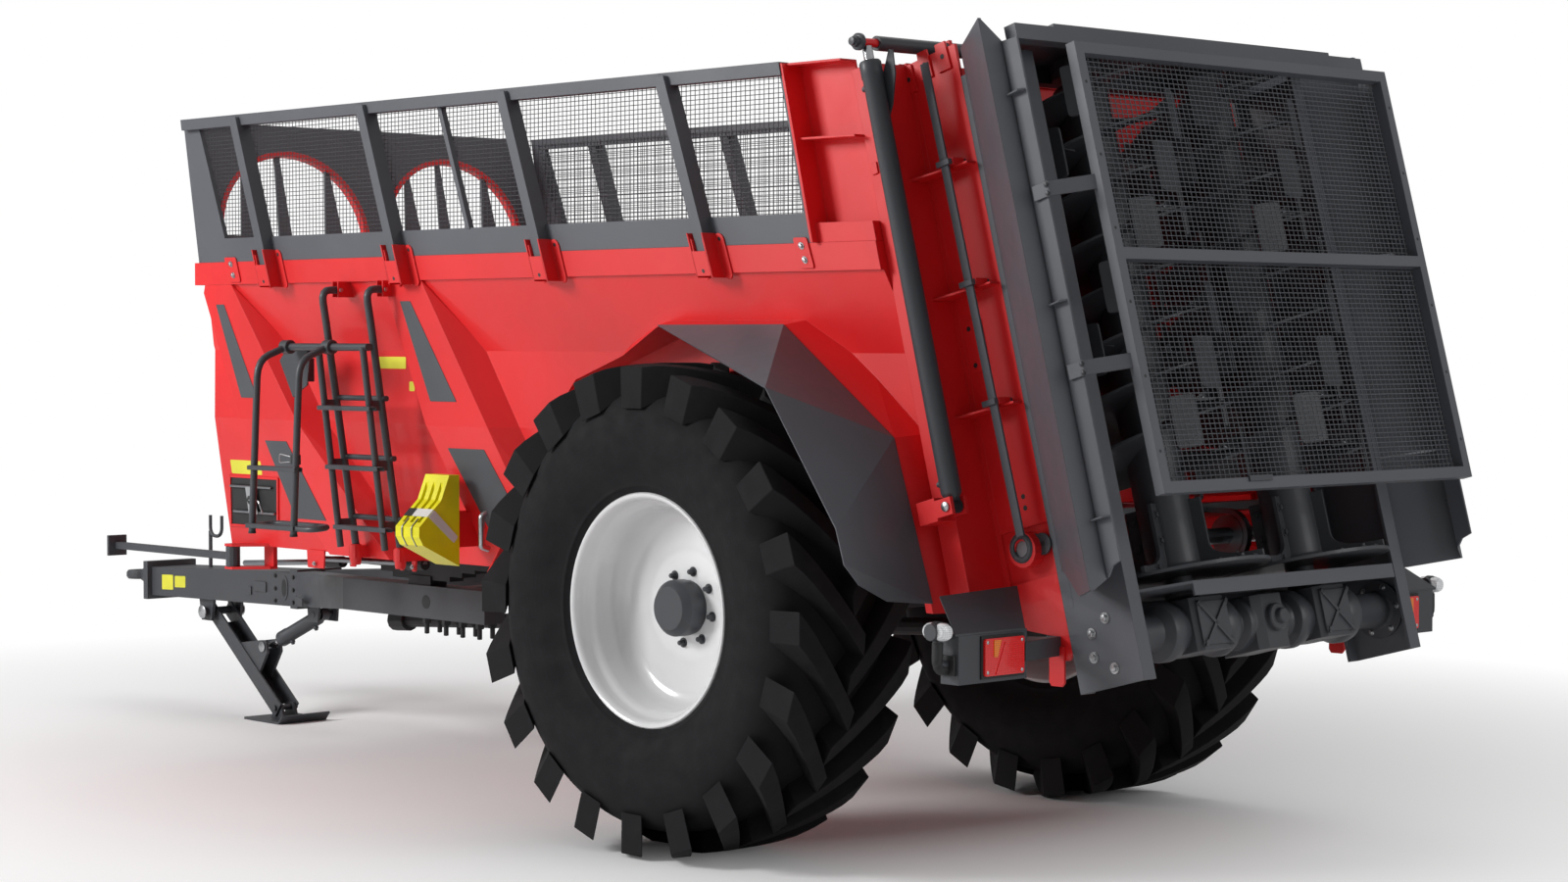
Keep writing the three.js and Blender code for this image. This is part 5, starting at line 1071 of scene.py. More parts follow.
def bracket_shapes():
    """A hat section: front, two cheeks and two flanges with rounded ends, as (x, y, z) shapes."""
    low, high = 2.102, 2.272
    front = box((-0.040, 1.0615, low + 0.012), (0.040, 1.0675, 2.205))
    t = np.linspace(0, math.pi, 9)
    arc = np.c_[0.0225 * np.cos(t), 0.0225 * np.sin(t)]
    outline = np.concatenate([arc + [0.0625, high - 0.0225], -arc + [0.0625, low + 0.0225]])
    tab, tab_faces = prism(outline, 1.0004, 1.0064)
    tab = tab[:, [0, 2, 1]]
    shapes = [front, (tab, tab_faces), (tab * [-1, 1, 1], tab_faces)]
    for side in (-1, 1):
        x0, x1 = sorted((side * 0.0376, side * 0.0436))
        shapes.append(box((x0, 1.0005, low + 0.006), (x1, 1.0675, high)))
    return shapes


class SPREADER_OT_hopper_trim(MIXIN_piece, bpy.types.Operator):
    """Builds the inlays, blank plates, stanchion brackets and small fittings of the hopper's sides"""

    bl_idname = "spreader.hopper_trim"
    bl_label = "Hopper trim"

    def make(self):
        skin = Skin("hopper_trim", "frame", "dark_paint")
        upper = (((3.208, 2.037), (3.271, 2.037), (3.083, 1.624), (2.958, 1.624)),
                 ((1.813, 2.040), (1.883, 2.040), (1.685, 1.629), (1.508, 1.629)))
        lower = (((2.759, 1.438), (2.924, 1.438), (2.776, 1.098), (2.545, 1.098)),
                 ((1.351, 1.440), (1.592, 1.440), (1.398, 1.124), (1.150, 1.124)))
        for quads, crest in ((upper, upper_crest), (lower, lower_crest)):
            for quad in quads:
                shape = quad_plate(outward([crest(*q) for q in quad]), 0.0022, 0.004, -0.0004)
                skin.both(shape, FINISH["inlay"], on_machine)
        skin.build(bevel=0.0006)
        plates = Skin("blank_plates", "frame", "yellow_plastic")
        spots = [
            [(1.990, 0.8903, 1.809), (2.203, 0.8903, 1.809), (2.203, 0.8903, 1.759), (1.990, 0.8903, 1.759)],
            [(1.929, 0.8903, 1.706), (1.966, 0.8903, 1.706), (1.966, 0.8903, 1.666), (1.929, 0.8903, 1.666)],
            [skirt(3.132, 1.337), skirt(3.377, 1.337), skirt(3.377, 1.275), skirt(3.132, 1.275)],
            [(5.064, 0.1202, 0.676), (5.170, 0.1202, 0.672), (5.170, 0.1202, 0.596), (5.064, 0.1202, 0.600)],
            [(4.948, 0.1202, 0.676), (5.048, 0.1202, 0.672), (5.048, 0.1202, 0.614), (4.948, 0.1202, 0.618)],
        ]
        for quad in spots:
            plates.add(quad_plate(outward(quad), 0.0008, 0.006), FINISH["blank"], on_machine)
        plates.build()
        red = Skin("stanchion_brackets", "frame", "red_paint")
        # The bracket holes are not cut: flat black discs lie in them as painted shade.
        hole_shade_disc = [(0.0001, 0.0), (0.0075, 0.0), (0.0075, 0.0009), (0.0001, 0.0009)]
        for x in STANCHIONS:
            for shape in bracket_shapes():
                red.both(shape, FINISH["red"], lambda p, x=x: on_machine(leaning(p, x)))
            hole_shade_discs = copies(revolve(hole_shade_disc, 16),
                           [(-0.0625, 1.0064, 2.250), (0.0625, 1.0064, 2.250), (0, 1.0675, 2.132)],
                           axes_along((0, 1, 0)))
            red.both(hole_shade_discs, FINISH["black"], lambda p, x=x: on_machine(leaning(p, x)))
        for x, half in ((3.150, 0.045), (-0.520, 0.035)):
            tab = quad_plate(outward([(x - half, 1.0004, 2.245), (x + half, 1.0004, 2.245),
                                      (x + half, 1.0004, 2.135),
                                      (x - half, 1.0004, 2.135)]), 0.006, 0.010)
            red.both(tab, FINISH["red"], lambda p: on_machine(leaning(p, 0.0)))
            bolts = copies(bolt(0.009), [(x, 1.0064, 2.215), (x, 1.0064, 2.165)], axes_along((0, 1, 0)))
            red.both(bolts, FINISH["zinc"], lambda p: on_machine(leaning(p, 0.0)))
        # fittings under the side sheet: folded tabs that carry the pipes
        for x0, x1, z0, z1 in ((2.478, 2.530, 0.896, 0.985), (2.040, 2.075, 0.900, 0.985),
                               (2.128, 2.163, 0.900, 0.985),
                               (2.716, 2.851, 0.875, 0.955)):
            low = quad_plate([(x0, 0.806, z1), (x0 + 0.006, 0.806, z0), (x1 - 0.006, 0.806, z0),
                              (x1, 0.806, z1)],
                             0.008, 0.006)
            red.both(low, FINISH["red"], on_machine)
            red.both(copies(bolt(0.007), [((x0 + x1) / 2, 0.814, z0 + 0.02)], axes_along((0, 1, 0))),
                     FINISH["zinc"],
                     on_machine)
        for x in (LADDER_X, LADDER_X + LADDER_W):
            foot = revolve([(0.0001, 0.925), (0.020, 0.925), (0.024, 0.940), (0.024, 1.012),
                            (0.0172, 1.014), (0.0172, 0.990), (0.0001, 0.990)], 24)
            red.add(copies(foot, [(x, 0.945, 0)]), FINISH["red"], on_machine)
        frame_quad = [(3.394, 1.262), (3.009, 1.262), (3.063, 1.036), (3.440, 1.036)]
        edge = np.array([skirt(x, z) for x, z in frame_quad]) + [0, 0.002, 0]
        bar, past = [(-0.006, -0.004), (0.006, -0.004), (0.006, 0.004), (-0.006, 0.004)], 0.006
        for start, end in zip(edge, np.roll(edge, -1, 0)):
            over = past * (end - start) / np.linalg.norm(end - start)
            red.add(tube_rings([start - over, end + over], bar, (0, 1, 0.1)), FINISH["red"], on_machine)
        red.build(bevel=0.0012)
        panel = Skin("valve_recess", "frame", "dark_paint")
        # The black sheet inside the red frame is painted shade: it stands for the dark inside of the valve
        # recess, which has no depth here.
        inner = [skirt(3.388, 1.256), skirt(3.017, 1.256), skirt(3.069, 1.042), skirt(3.434, 1.042)]
        panel.add(quad_plate(outward(inner), 0.0012, 0.004), FINISH["black"], on_machine)
        for z in (1.218, 1.102):
            a, b = skirt(3.390, z), skirt(3.060, z)
            panel.add(straight(np.add(a, (0, 0.010, 0)), np.add(b, (0, 0.010, 0)), 0.006), FINISH["steel"],
                      on_machine)
        centre = [skirt(3.255, 1.222), skirt(3.185, 1.222), skirt(3.185, 1.098), skirt(3.255, 1.098)]
        panel.add(quad_plate(outward(centre), 0.004, 0.005, 0.016), FINISH["zinc"], on_machine)
        knob = revolve([(0.0001, 0.0), (0.020, 0.0), (0.020, 0.010), (0.014, 0.014), (0.0001, 0.015)], 24)
        spot = np.add(skirt(3.220, 1.160), (0, 0.020, 0))
        panel.add(copies(knob, [spot], axes_along((0, 1, -0.155))), FINISH["black"], on_machine)
        lever = [np.add(spot, (0, 0.012, 0)), np.add(spot, (-0.08, 0.014, 0.0)),
                 np.add(spot, (-0.11, 0.014, -0.055))]
        panel.add(bent_tube(lever, 0.004, 0.02, 10), FINISH["zinc"], on_machine)
        panel.build(sharp=35)
        dark = Skin("side_fittings", "frame", "dark_paint")
        shield = [(2.682, 1.791), (2.633, 1.836), (2.449, 1.837), (2.476, 1.687), (2.582, 1.634)]
        points, faces = prism(shield, 1.050, 1.056)
        dark.add((points[:, [0, 2, 1]], faces), FINISH["dark"], on_machine)
        dark.add(box((2.445, 1.000, 1.805), (2.475, 1.056, 1.835)), FINISH["dark"], on_machine)
        dark.add(box((2.560, 0.960, 1.700), (2.566, 1.052, 1.800)), FINISH["dark"], on_machine)
        strap = bent_tube([(1.353, 0.962, 1.183), (1.353, 0.985, 1.172), (1.353, 0.985, 1.050),
                           (1.353, 0.950, 1.039)],
                          0.013, 0.01, 12)
        dark.add(strap, FINISH["zinc"], on_machine)
        for a, b in (((3.662, 0.600, 0.839), (2.870, 0.600, 0.887)),
                     ((2.952, 0.640, 0.898), (2.200, 0.640, 0.915))):
            dark.add(straight(a, b, 0.013, 16), FINISH["steel"], on_machine)
            dark.add(straight(b, np.add(b, (0.12, 0, -0.007)), 0.026, 16), FINISH["black"], on_machine)
        dark.build(bevel=0.001)


# ---------------------------------------------------------------- rear trim


class SPREADER_OT_rear_trim(MIXIN_piece, bpy.types.Operator):
    """Builds the bolts, bearings, levers and small plates on the posts and columns of the rear end"""

    bl_idname = "spreader.rear_trim"
    bl_label = "Rear trim"

    def make(self):
        skin = Skin("rear_fittings", "frame", "dark_paint")
        out = axes_along((0, 1, 0))
        spots = [(-0.170, 0.775, 0.230), (-0.100, 0.775, 0.190), (-0.090, 0.775, 0.110),
                 (-0.170, 0.775, 0.060)]
        skin.both(copies(bolt(0.013), spots, out), FINISH["zinc"], on_deck)
        upper = [(-0.170, 0.775, z) for z in (2.060, 2.110)] + [(-0.080, 0.775, z) for z in (2.060, 2.110)]
        skin.both(copies(bolt(0.009), upper, out), FINISH["dark"], on_deck)
        ring = [(0.030, 0.0), (0.052, 0.0), (0.052, 0.010), (0.047, 0.016), (0.037, 0.018), (0.031, 0.014)]
        skin.both(copies(revolve(ring, 40, closed=True), [(0.102, 0.806, 0.526)], out), FINISH["dark"],
                  on_deck)
        shaft = revolve([(0.0001, 0.0), (0.030, 0.0), (0.030, 0.004), (0.028, 0.006), (0.0001, 0.006)], 32)
        skin.both(copies(shaft, [(0.102, 0.800, 0.526)], out), FINISH["steel"], on_deck)
        t = np.linspace(-1.9, 1.9, 11)
        lug = np.concatenate([np.c_[0.038 * np.cos(t), 0.038 * np.sin(t)],
                              [(-0.055, 0.052), (-0.055, -0.052)]])
        points, faces = prism(lug * [-1, 1] + [0.035, 0.525], 0.7755, 0.7835)
        skin.both((points[:, [0, 2, 1]], faces), FINISH["dark"], on_deck)
        # Flat black discs stand in the holes of the lug, the post plate and the tabs as painted shade; the
        # holes are not cut.
        hole_shade_disc = revolve([(0.0001, 0.0), (0.009, 0.0), (0.009, 0.001), (0.0001, 0.001)], 16)
        dots = [(0.030, 0.7835, 0.525)] + [(0.085, 0.7752, z) for z in (0.66, 0.70)]
        skin.both(copies(hole_shade_disc, dots, out), FINISH["black"], on_deck)
        # lever plate of the gate beam, with its pivot
        lever = [(0.262, 2.010), (0.238, 2.120), (0.215, 2.165), (0.130, 2.300), (0.112, 2.292),
                 (0.120, 2.210), (0.160, 2.110), (0.235, 2.005)]
        points, faces = prism(lever, 0.9640, 0.9700)
        skin.both((points[:, [0, 2, 1]], faces), FINISH["dark"], on_deck)
        pivot = revolve([(0.0001, 0.0), (0.020, 0.0), (0.020, 0.004), (0.012, 0.006), (0.012, 0.012),
                         (0.0001, 0.014)], 28)
        skin.both(copies(pivot, [(0.200, 0.970, 2.130)], out), FINISH["zinc"], on_deck)
        skin.build(sharp=35, bevel=0.001)
        beam = Skin("gate_beam", "gate", "dark_paint")
        knob = [(0.0001, 0.0), (0.026, 0.0), (0.030, 0.003), (0.030, 0.016), (0.024, 0.019),
                (0.019, 0.020), (0.019, 0.034), (0.014, 0.036), (0.014, 0.046), (0.0001, 0.047)]
        beam.both(copies(revolve(knob, 32), [(0.196, 1.030, 2.345)], out), FINISH["dark"], on_deck)
        tube = revolve([(0.0158, -0.955), (0.0260, -0.955), (0.0260, 0.955), (0.0158, 0.955)], 28,
                       closed=True)
        beam.add(copies(tube, [(0.196, 0, 2.345)], out), FINISH["dark"], on_deck)
        beam.build(sharp=35)
        red = Skin("post_fittings", "frame", "red_paint")
        four = quad_plate([(0.200, 0.7752, 1.340), (0.120, 0.7752, 1.340), (0.120, 0.7752, 1.160),
                           (0.200, 0.7752, 1.160)][::-1], 0.006, 0.006)
        red.both(four, FINISH["red"], on_deck)
        # Painted shade: flat black discs in the four holes of the post plate.
        dots = [(x, 0.7815, z) for x in (0.140, 0.180) for z in (1.185, 1.315)]
        red.both(copies(hole_shade_disc, dots, out), FINISH["black"], on_deck)
        for z in (1.018, 1.438, 1.868):
            points, faces = prism([(0.045, 0.790), (0.115, 0.790), (0.115, 0.846), (0.045, 0.846)], z,
                                  z + 0.022)
            red.both((points, faces), FINISH["red"], on_deck)
        for x, z in ((0.150, 2.262), (0.235, 2.235), (0.060, 2.262)):
            tab = prism([(x - 0.030, z - 0.05), (x + 0.030, z - 0.05), (x + 0.026, z + 0.05),
                         (x - 0.022, z + 0.05)],
                        0.7752, 0.7832)
            red.both((tab[0][:, [0, 2, 1]], tab[1]), FINISH["red"], on_deck)
            # Painted shade: a flat black disc in each tab's hole.
            red.both(copies(hole_shade_disc, [(x, 0.7832, z)], out), FINISH["black"], on_deck)
        for x, z in ((0.305, 1.925), (0.265, 1.905)):
            tab = prism([(x - 0.014, z - 0.02), (x + 0.014, z - 0.02), (x + 0.014, z + 0.02),
                         (x - 0.014, z + 0.02)],
                        0.960, 0.966)
            red.both((tab[0][:, [0, 2, 1]], tab[1]), FINISH["red"], on_deck)
        tongue = [(-1.655, 0.812), (-1.600, 0.812), (-1.590, 0.790), (-1.590, 0.690), (-1.600, 0.676),
                  (-1.648, 0.676), (-1.660, 0.690)]
        tongue = [(x + 0.075, z + 0.04) for x, z in tongue]
        points, faces = prism(tongue, 0.7758, 0.7838)
        red.both((points[:, [0, 2, 1]], faces), FINISH["red"], on_machine)
        red.build(sharp=35, bevel=0.0012)
        guard = Skin("guard_fittings", "frame", "grey_paint")
        back = axes_along((-1, 0, 0))
        # Painted shade: flat black discs in the holes along the guard's side members.
        dots = [(-0.5946, side * 0.842, z) for side in (-1, 1) for z in (0.70, 0.95, 1.20, 1.45, 1.70, 1.95)]
        guard.add(copies(revolve([(0.0001, 0.0), (0.006, 0.0), (0.006, 0.0006), (0.0001, 0.0006)], 14),
                         dots, back),
                  FINISH["black"], on_deck)
        guard.add(box((-0.602, 0.300, 0.585), (-0.594, 0.420, 0.605)), FINISH["dark"], on_deck)
        heads = [(-0.470, side * 0.993, z) for side in (-1, 1) for z in (0.995, 1.025, 1.600, 1.630)]
        guard.add(copies(bolt(0.008), [(x, y, z) for x, y, z in heads if y > 0], out), FINISH["dark"],
                  on_deck)
        for side in (1, -1):
            cap = revolve([(0.0001, 0.003), (0.060, 0.003), (0.082, 0.002), (0.088, 0.0), (0.0001, 0.0)], 40)
            guard.add(copies(cap, [(-0.150, side * 0.342, 2.2825)]), FINISH["grey"], on_deck)
            a = np.arange(6) * math.pi / 3
            guard.add(copies(bolt(0.006),
                             np.stack([-0.150 + 0.07 * np.cos(a), side * 0.342 + 0.07 * np.sin(a),
                                                    2.278 + 0 * a], -1)), FINISH["zinc"], on_deck)
        guard.build(sharp=35, bevel=0.0008)


class SPREADER_OT_lamps(MIXIN_piece, bpy.types.Operator):
    """Builds the tail lamp lenses with their screws and the two-ended marker lamps"""

    bl_idname = "spreader.lamps"
    bl_label = "Lamps"

    def make(self):
        skin = Skin("tail_lamps", "frame", "dark_paint")
        x, y0, y1, z0, z1 = -1.6003, 1.008, 1.215, 0.777, 0.918

        def face(outline, low, high):
            points, faces = prism(outline, low, high)
            return np.stack([x - points[:, 2], points[:, 0], points[:, 1]], -1), faces
        c = 0.006
        rim = [(y0, z0), (y1, z0), (y1, z1), (y0, z1)]
        skin.both(face(rim, 0.0, 0.006), FINISH["black"], on_machine)
        a0, a1, b0, b1 = y0 + 0.009, y1 - 0.009, z0 + 0.009, z1 - 0.009
        lens = [(a0 + c, b0), (a1 - c, b0), (a1, b0 + c), (a1, b1 - c), (a1 - c, b1), (a0 + c, b1),
                (a0, b1 - c), (a0, b0 + c)]
        skin.both(face(lens, 0.004, 0.015), FINISH["red_lens"], on_machine)
        wedge = [(1.132, b1 - 0.006), (1.166, b1 - 0.006), (1.166, b0 + 0.062), (1.150, b0 + 0.060)]
        skin.both(face(wedge, 0.014, 0.0185), FINISH["amber_lens"], on_machine)
        delta = [(1.062, b0 + 0.003), (1.158, b0 + 0.003), (1.112, b1 - 0.014), (1.104, b1 - 0.014)]
        skin.both(face(delta, 0.014, 0.0178), FINISH["red_lens"], on_machine)
        screws = [(x - 0.015, y, z) for y in (a0 + 0.012, a1 - 0.012) for z in (b0 + 0.012, b1 - 0.012)]
        screw = revolve([(0.0001, 0.0), (0.006, 0.0), (0.006, 0.001), (0.004, 0.0022), (0.0001, 0.0024)], 16)
        skin.both(copies(screw, screws, axes_along((-1, 0, 0))), FINISH["zinc"], on_machine)
        arm = [(-1.553, 1.313, 0.815), (-1.553, 1.368, 0.815), (-1.553, 1.366, 0.905)]
        skin.both(bent_tube(arm, 0.0185, 0.04, 18), FINISH["black"], on_machine)
        skin.both(box((-1.590, 1.317, 0.795), (-1.520, 1.330, 0.860)), FINISH["black"], on_machine)
        band = [(0.0001, -0.013), (0.032, -0.013), (0.034, -0.010), (0.034, 0.010), (0.032, 0.013),
                (0.0001, 0.013)]
        fore = axes_along((1, 0, 0))
        skin.both(copies(revolve(band, 32), [(-1.553, 1.366, 0.940)], fore), FINISH["black"], on_machine)
        dome = [(0.029, 0.011), (0.030, 0.018), (0.028, 0.036), (0.023, 0.046), (0.012, 0.051),
                (0.0001, 0.052), (0.0001, 0.011)]
        skin.both(copies(revolve(dome, 32), [(-1.553, 1.366, 0.940)], fore), FINISH["clear"], on_machine)
        skin.both(copies(revolve(dome, 32), [(-1.553, 1.366, 0.940)], axes_along((-1, 0, 0))),
                  FINISH["clear"],
                  on_machine)
        skin.build(sharp=35, bevel=0.0008)


# ---------------------------------------------------------------- front trim


class SPREADER_OT_front_trim(MIXIN_piece, bpy.types.Operator):
    """Builds the red arches of the front screen, the hose couplings and the plates of the drawbar"""

    bl_idname = "spreader.front_trim"
    bl_label = "Front trim"

    def make(self):
        skin = Skin("screen_arches", "frame", "red_paint")
        a = np.linspace(0, math.pi, 33)
        section = [(-0.010, -0.019), (0.014, -0.019), (0.014, 0.019), (-0.010, 0.019)]
        for side in (1, -1):
            y = side * 0.460
            z = 2.3553 + 0.380 * np.sin(a)
            arch = np.stack([3.440 + (z - 2.2253) * 0.194 - 0.019, y + 0.400 * np.cos(a), z], -1)
            arch[[0, -1], 2] -= 0.004
            skin.add(tube_rings(arch, section, (1, 0, -0.194)), FINISH["red"], on_machine)
            for dy, w in ((-0.22, 0.05), (0.05, 0.035), (0.24, 0.05)):
                top = 2.3553 + 0.380 * math.sqrt(max(0.0, 1 - (dy / 0.4) ** 2)) - 0.004
                leaf = [(y + dy - w, 2.350), (y + dy + w, 2.350), (y + dy + 0.012, top),
                        (y + dy - 0.012, top)]
                points, faces = prism(leaf, -0.006, 0.006)
                x = 3.440 + (points[:, 1] - 2.2253) * 0.194 - 0.019 + points[:, 2]
                skin.add((np.stack([x, points[:, 0], points[:, 1]], -1), faces), FINISH["grey"], on_machine)
        skin.build(sharp=40)
        draw = Skin("drawbar_fittings", "frame", "dark_paint")
        out = axes_along((0, 1, 0))
        dark = FINISH["dark"]
        flange = quad_plate(outward([(3.943, 0.1302, 0.751), (4.137, 0.1302, 0.742),
                                     (4.137, 0.1302, 0.588),
                                     (3.943, 0.1302, 0.588)]), 0.008, 0.006, -0.010)
        draw.both(flange, dark, on_machine)
        t = np.arange(28) * 2 * math.pi / 28
        for r, thick, finish in ((1.0, 0.004, "dark"), (0.72, 0.0045, "black")):
            oval = np.c_[4.040 + 0.030 * r * np.cos(t), 0.672 + 0.060 * r * np.sin(t)]
            points, faces = prism(oval, 0.1275, 0.1280 + thick)
            draw.both((points[:, [0, 2, 1]], faces), FINISH[finish], on_machine)
        heads = [(px, 0.128, pz) for px in (3.962, 4.118) for pz in (0.605, 0.665, 0.728)]
        draw.both(copies(bolt(0.008), heads, out), FINISH["black"], on_machine)
        for x0, x1, low, high in ((4.209, 4.313, 0.640, 0.690), (4.340, 4.370, 0.620, 0.660)):
            draw.both(box((x0, 0.119, low), (x1, 0.126, high)), dark, on_machine)
        lid = [(3.706, 0.247, 0.648), (3.853, 0.188, 0.648), (3.853, 0.188, 0.610), (3.706, 0.247, 0.610)]
        draw.both(quad_plate(outward(lid), 0.006, 0.004), dark, on_machine)
        # Painted shade: a flat black disc stands in a round opening of the frame.
        draw.both(copies(revolve([(0.0001, 0.0), (0.030, 0.0), (0.030, 0.001), (0.0001, 0.001)], 28),
                         [(2.420, 0.4752, 0.728)], out), FINISH["black"], on_machine)
        for x in (2.060, 2.180, 2.300, 2.440):
            for y in (0.385, 0.455):
                stud = revolve([(0.0001, 0.585), (0.010, 0.587), (0.011, 0.590), (0.011, 0.660),
                                (0.0001, 0.660)], 16)
                draw.both(copies(stud, [(x, y, 0)]), FINISH["black"], on_machine)
                nut = revolve([(0.0001, 0.632), (0.019, 0.632), (0.019, 0.656), (0.0001, 0.656)], 6)
                draw.both(copies(nut, [(x, y, 0)]), FINISH["black"], on_machine)
        front = axes_along((1, 0, 0))
        heads = [(5.3105, y, z) for y in (-0.125, 0.125) for z in (0.565, 0.640, 0.712)]
        draw.add(copies(bolt(0.011), heads, front), FINISH["zinc"], on_machine)
        pin = revolve([(0.0001, 0.0), (0.030, 0.0), (0.033, 0.003), (0.033, 0.008), (0.020, 0.014),
                       (0.0001, 0.016)], 32)
        draw.build(sharp=35, bevel=0.001)
        leg = Skin("jack_fittings", "jack_leg", "plated_steel")
        leg.both(copies(pin, [(4.800, 0.110, 0.505)], out), FINISH["zinc"], on_machine)
        eye_pin = revolve([(0.0001, 0.0), (0.024, 0.0), (0.026, 0.002), (0.026, 0.006), (0.016, 0.009),
                           (0.0001, 0.010)], 28)
        leg.both(copies(eye_pin, [(4.360, 0.0472, 0.355)], out), FINISH["zinc"], on_machine)
        leg.add(straight((4.360, -0.047, 0.355), (4.360, 0.047, 0.355), 0.0150, 20), FINISH["steel"],
                on_machine)
        leg.build(sharp=35)
        hoses = Skin("hose_couplings", "frame", "dark_paint")
        for z in (1.320, 1.145):
            block = box((3.459, 0.560, z - 0.030), (3.480, 0.700, z + 0.030))
            hoses.add(block, FINISH["dark"], on_machine)
            for k in range(4):
                y = 0.580 + 0.034 * k
                claw = bent_tube([(3.475, y, z), (3.525, y + 0.004, z + 0.004),
                                  (3.570, y + 0.010, z - 0.014)], 0.008,
                                 0.02, 10)
                hoses.add(claw, FINISH["black"], on_machine)
                tip = straight((3.547, y + 0.007, z - 0.005), (3.577, y + 0.011, z - 0.016), 0.0105, 12)
                hoses.add(tip, FINISH["zinc"], on_machine)
        hoses.build(sharp=35)


class SPREADER_OT_chock_strap(MIXIN_piece, bpy.types.Operator):
    """Builds the strap and spring clips across the wheel chock"""

    bl_idname = "spreader.chock_strap"
    bl_label = "Chock strap"

    def make(self):
        skin = Skin("chock_strap", "frame", "yellow_plastic")
        x0, x1 = corners("wheel_chock")[0][0] - AXLE_X, corners("wheel_chock")[1][0] - AXLE_X
        for f0, f1, finish in ((0.0, 0.34, "black"), (0.34, 1.0, "blank_white")):
            a, b = x1 + (x0 - x1) * f0, x1 + (x0 - x1) * f1
            band = [(a, 1.128, 1.1987), (b, 1.128, 1.1987), (b, 1.158, 1.1701), (a, 1.158, 1.1701)]
            skin.add(quad_plate(outward(band), 0.0018, 0.002, 0.0004), FINISH[finish], on_machine)
        side = [(x0 - 0.0024, 1.128, 1.197), (x0 - 0.0024, 1.156, 1.170), (x0 - 0.0024, 1.030, 1.060),
                (x0 - 0.0024, 1.010, 1.085)]
        skin.add(quad_plate(side, 0.0018, 0.004), FINISH["blank_white"], on_machine)
        for f in (0.3, 0.7):
            x = x0 + (x1 - x0) * f
            wire = [(x, 1.170, 1.1625), (x, 1.204, 1.1295), (x, 1.204, 1.094), (x, 1.178, 1.050)]
            skin.add(bent_tube(wire, 0.0028, 0.010, 8, (1, 0, 0)), FINISH["zinc"], on_machine)
        skin.build(sharp=35)


# ---------------------------------------------------------------- stage

# Strength of the surround on the object, and what mirrors see on top of it.
AMBIENT, MIRRORED = 0.32, 0.06


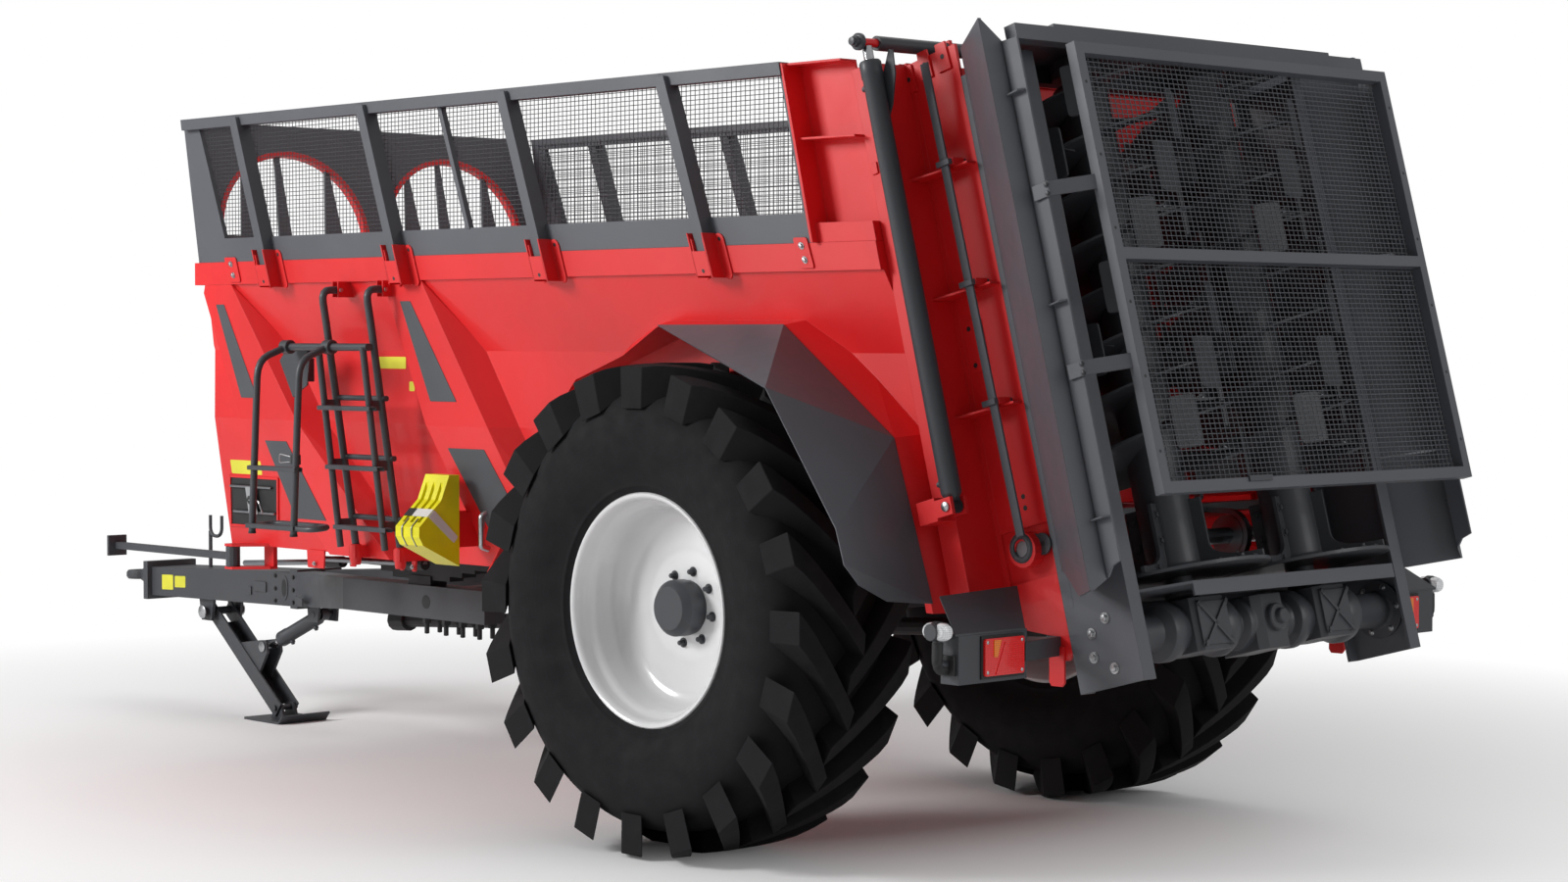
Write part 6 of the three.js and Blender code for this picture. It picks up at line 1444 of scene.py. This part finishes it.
class SPREADER_OT_stage(bpy.types.Operator):
    """Sets the pale floor, the soft lights, the white surround and the camera"""

    bl_idname = "spreader.stage"
    bl_label = "Stage"

    def execute(self, context):
        scene = bpy.context.scene
        scene.view_settings.view_transform = "Standard"
        camera = bpy.data.objects.new("camera", bpy.data.cameras.new("camera"))
        scene.collection.objects.link(camera)
        camera.location = (-10.077, 8.376, 1.891)
        pitch, turn = math.radians(-1.971), math.radians(-43.204)
        ahead = Vector((math.cos(turn) * math.cos(pitch), math.sin(turn) * math.cos(pitch), math.sin(pitch)))
        camera.rotation_euler = ahead.to_track_quat("-Z", "Y").to_euler()
        camera.data.lens = 69.19
        camera.data.sensor_width = 36.0
        camera.data.clip_end = 300.0
        scene.camera = camera
        self.lamp("key", (5.0, 10.5, 6.5), (0.2, 0.6, 1.0), 4.0, 1150)
        self.lamp("fill", (-12.0, -2.0, 4.5), (-1.2, 0.0, 1.4), 5.0, 230)
        self.lamp("top", (1.0, -2.0, 9.0), (0.0, 0.0, 1.0), 7.0, 200)
        self.world(scene)
        self.floor()
        return {"FINISHED"}

    def lamp(self, name, place, target, size, power):
        """A square area light at a place, turned to a target."""
        light = bpy.data.lights.new(f"{name}_light", "AREA")
        light.size, light.energy = size, power
        lamp = bpy.data.objects.new(f"{name}_light", light)
        lamp.location = place
        lamp.rotation_euler = (Vector(target) - Vector(place)).to_track_quat("-Z", "Y").to_euler()
        bpy.context.scene.collection.objects.link(lamp)

    def world(self, scene):
        """White to the camera, in mirrors and through glass; a soft even light on everything else."""
        world = bpy.data.worlds.new("surround")
        world.use_nodes = True
        scene.world = world
        tree = world.node_tree
        shader = tree.nodes["Background"]
        path = tree.nodes.new("ShaderNodeLightPath")
        seen = Value(tree, path.outputs["Is Camera Ray"]) + Value(tree, path.outputs["Is Transmission Ray"])
        clear = seen.math("MINIMUM", seen, 1.0)
        shiny = Value(tree, path.outputs["Is Glossy Ray"])
        level = AMBIENT + clear * (1 - AMBIENT) + shiny * MIRRORED
        strength = level.math("MINIMUM", level, 1.0)
        shader.inputs["Color"].default_value = (1, 1, 1, 1)
        tree.links.new(strength.socket, shader.inputs["Strength"])

    def floor(self):
        """A round floor whose shade fades to plain white, with distance, to the camera."""
        points, faces = revolve([(0.001, 0.0), (2.0, 0.0), (5.0, 0.0), (10.0, 0.0), (20.0, 0.0),
                                 (60.0, 0.0)], 64)
        mesh = bpy.data.meshes.new("floor")
        mesh.from_pydata(points.tolist(), [], faces[0].tolist())
        mesh.validate()
        floor = bpy.data.objects.new("floor", mesh)
        bpy.context.scene.collection.objects.link(floor)
        f = Finish("pale_floor", (0.93, 0.93, 0.93), 0.80, specular=0.1)
        white = f.node("ShaderNodeEmission", inputs={"Color": (1, 1, 1), "Strength": 1.0})
        x, y = f.axis("X"), f.axis("Y")
        far = ((x - 0.5) ** 2 + (y + 0.5) ** 2) ** 0.5
        path = f.node("ShaderNodeLightPath")
        fade = far.ramp(2.6, 6.2) * f.value(path.outputs["Is Camera Ray"])
        mix = f.node("ShaderNodeMixShader", inputs={0: fade, 1: f.shader.outputs[0], 2: white.outputs[0]})
        f.tree.links.new(mix.outputs[0], f.tree.nodes["Material Output"].inputs["Surface"])
        mesh.materials.append(f.material)


# ---------------------------------------------------------------- add-on


PIECES = (SPREADER_OT_finishes, SPREADER_OT_tyres, SPREADER_OT_wheels, SPREADER_OT_mesh, SPREADER_OT_beaters,
          SPREADER_OT_gearboxes, SPREADER_OT_rams, SPREADER_OT_ladder, SPREADER_OT_hopper_trim,
          SPREADER_OT_rear_trim, SPREADER_OT_lamps, SPREADER_OT_front_trim, SPREADER_OT_chock_strap,
          SPREADER_OT_stage)


class SPREADER_PT_panel(bpy.types.Panel):
    """Lists the pieces and their sizes"""

    bl_label = "Manure spreader"
    bl_idname = "SPREADER_PT_panel"
    bl_space_type = "VIEW_3D"
    bl_region_type = "UI"
    bl_category = "Spreader"

    def draw(self, context):
        column = self.layout.column()
        for group in (context.scene.spreader_sizes, context.scene.spreader_colours):
            for name in type(group).__annotations__:
                column.prop(group, name)
        for piece in PIECES:
            column.operator(piece.bl_idname)


CLASSES = (SpreaderSizes, SpreaderColours, *PIECES, SPREADER_PT_panel)


def register():
    for each in CLASSES:
        bpy.utils.register_class(each)
    bpy.types.Scene.spreader_sizes = bpy.props.PointerProperty(type=SpreaderSizes)
    bpy.types.Scene.spreader_colours = bpy.props.PointerProperty(type=SpreaderColours)


def unregister():
    del bpy.types.Scene.spreader_colours
    del bpy.types.Scene.spreader_sizes
    for each in reversed(CLASSES):
        bpy.utils.unregister_class(each)


def main():
    """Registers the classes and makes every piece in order."""
    register()
    for piece in PIECES:
        getattr(bpy.ops.spreader, piece.bl_idname.split(".")[1])()


if __name__ == "__main__":
    main()
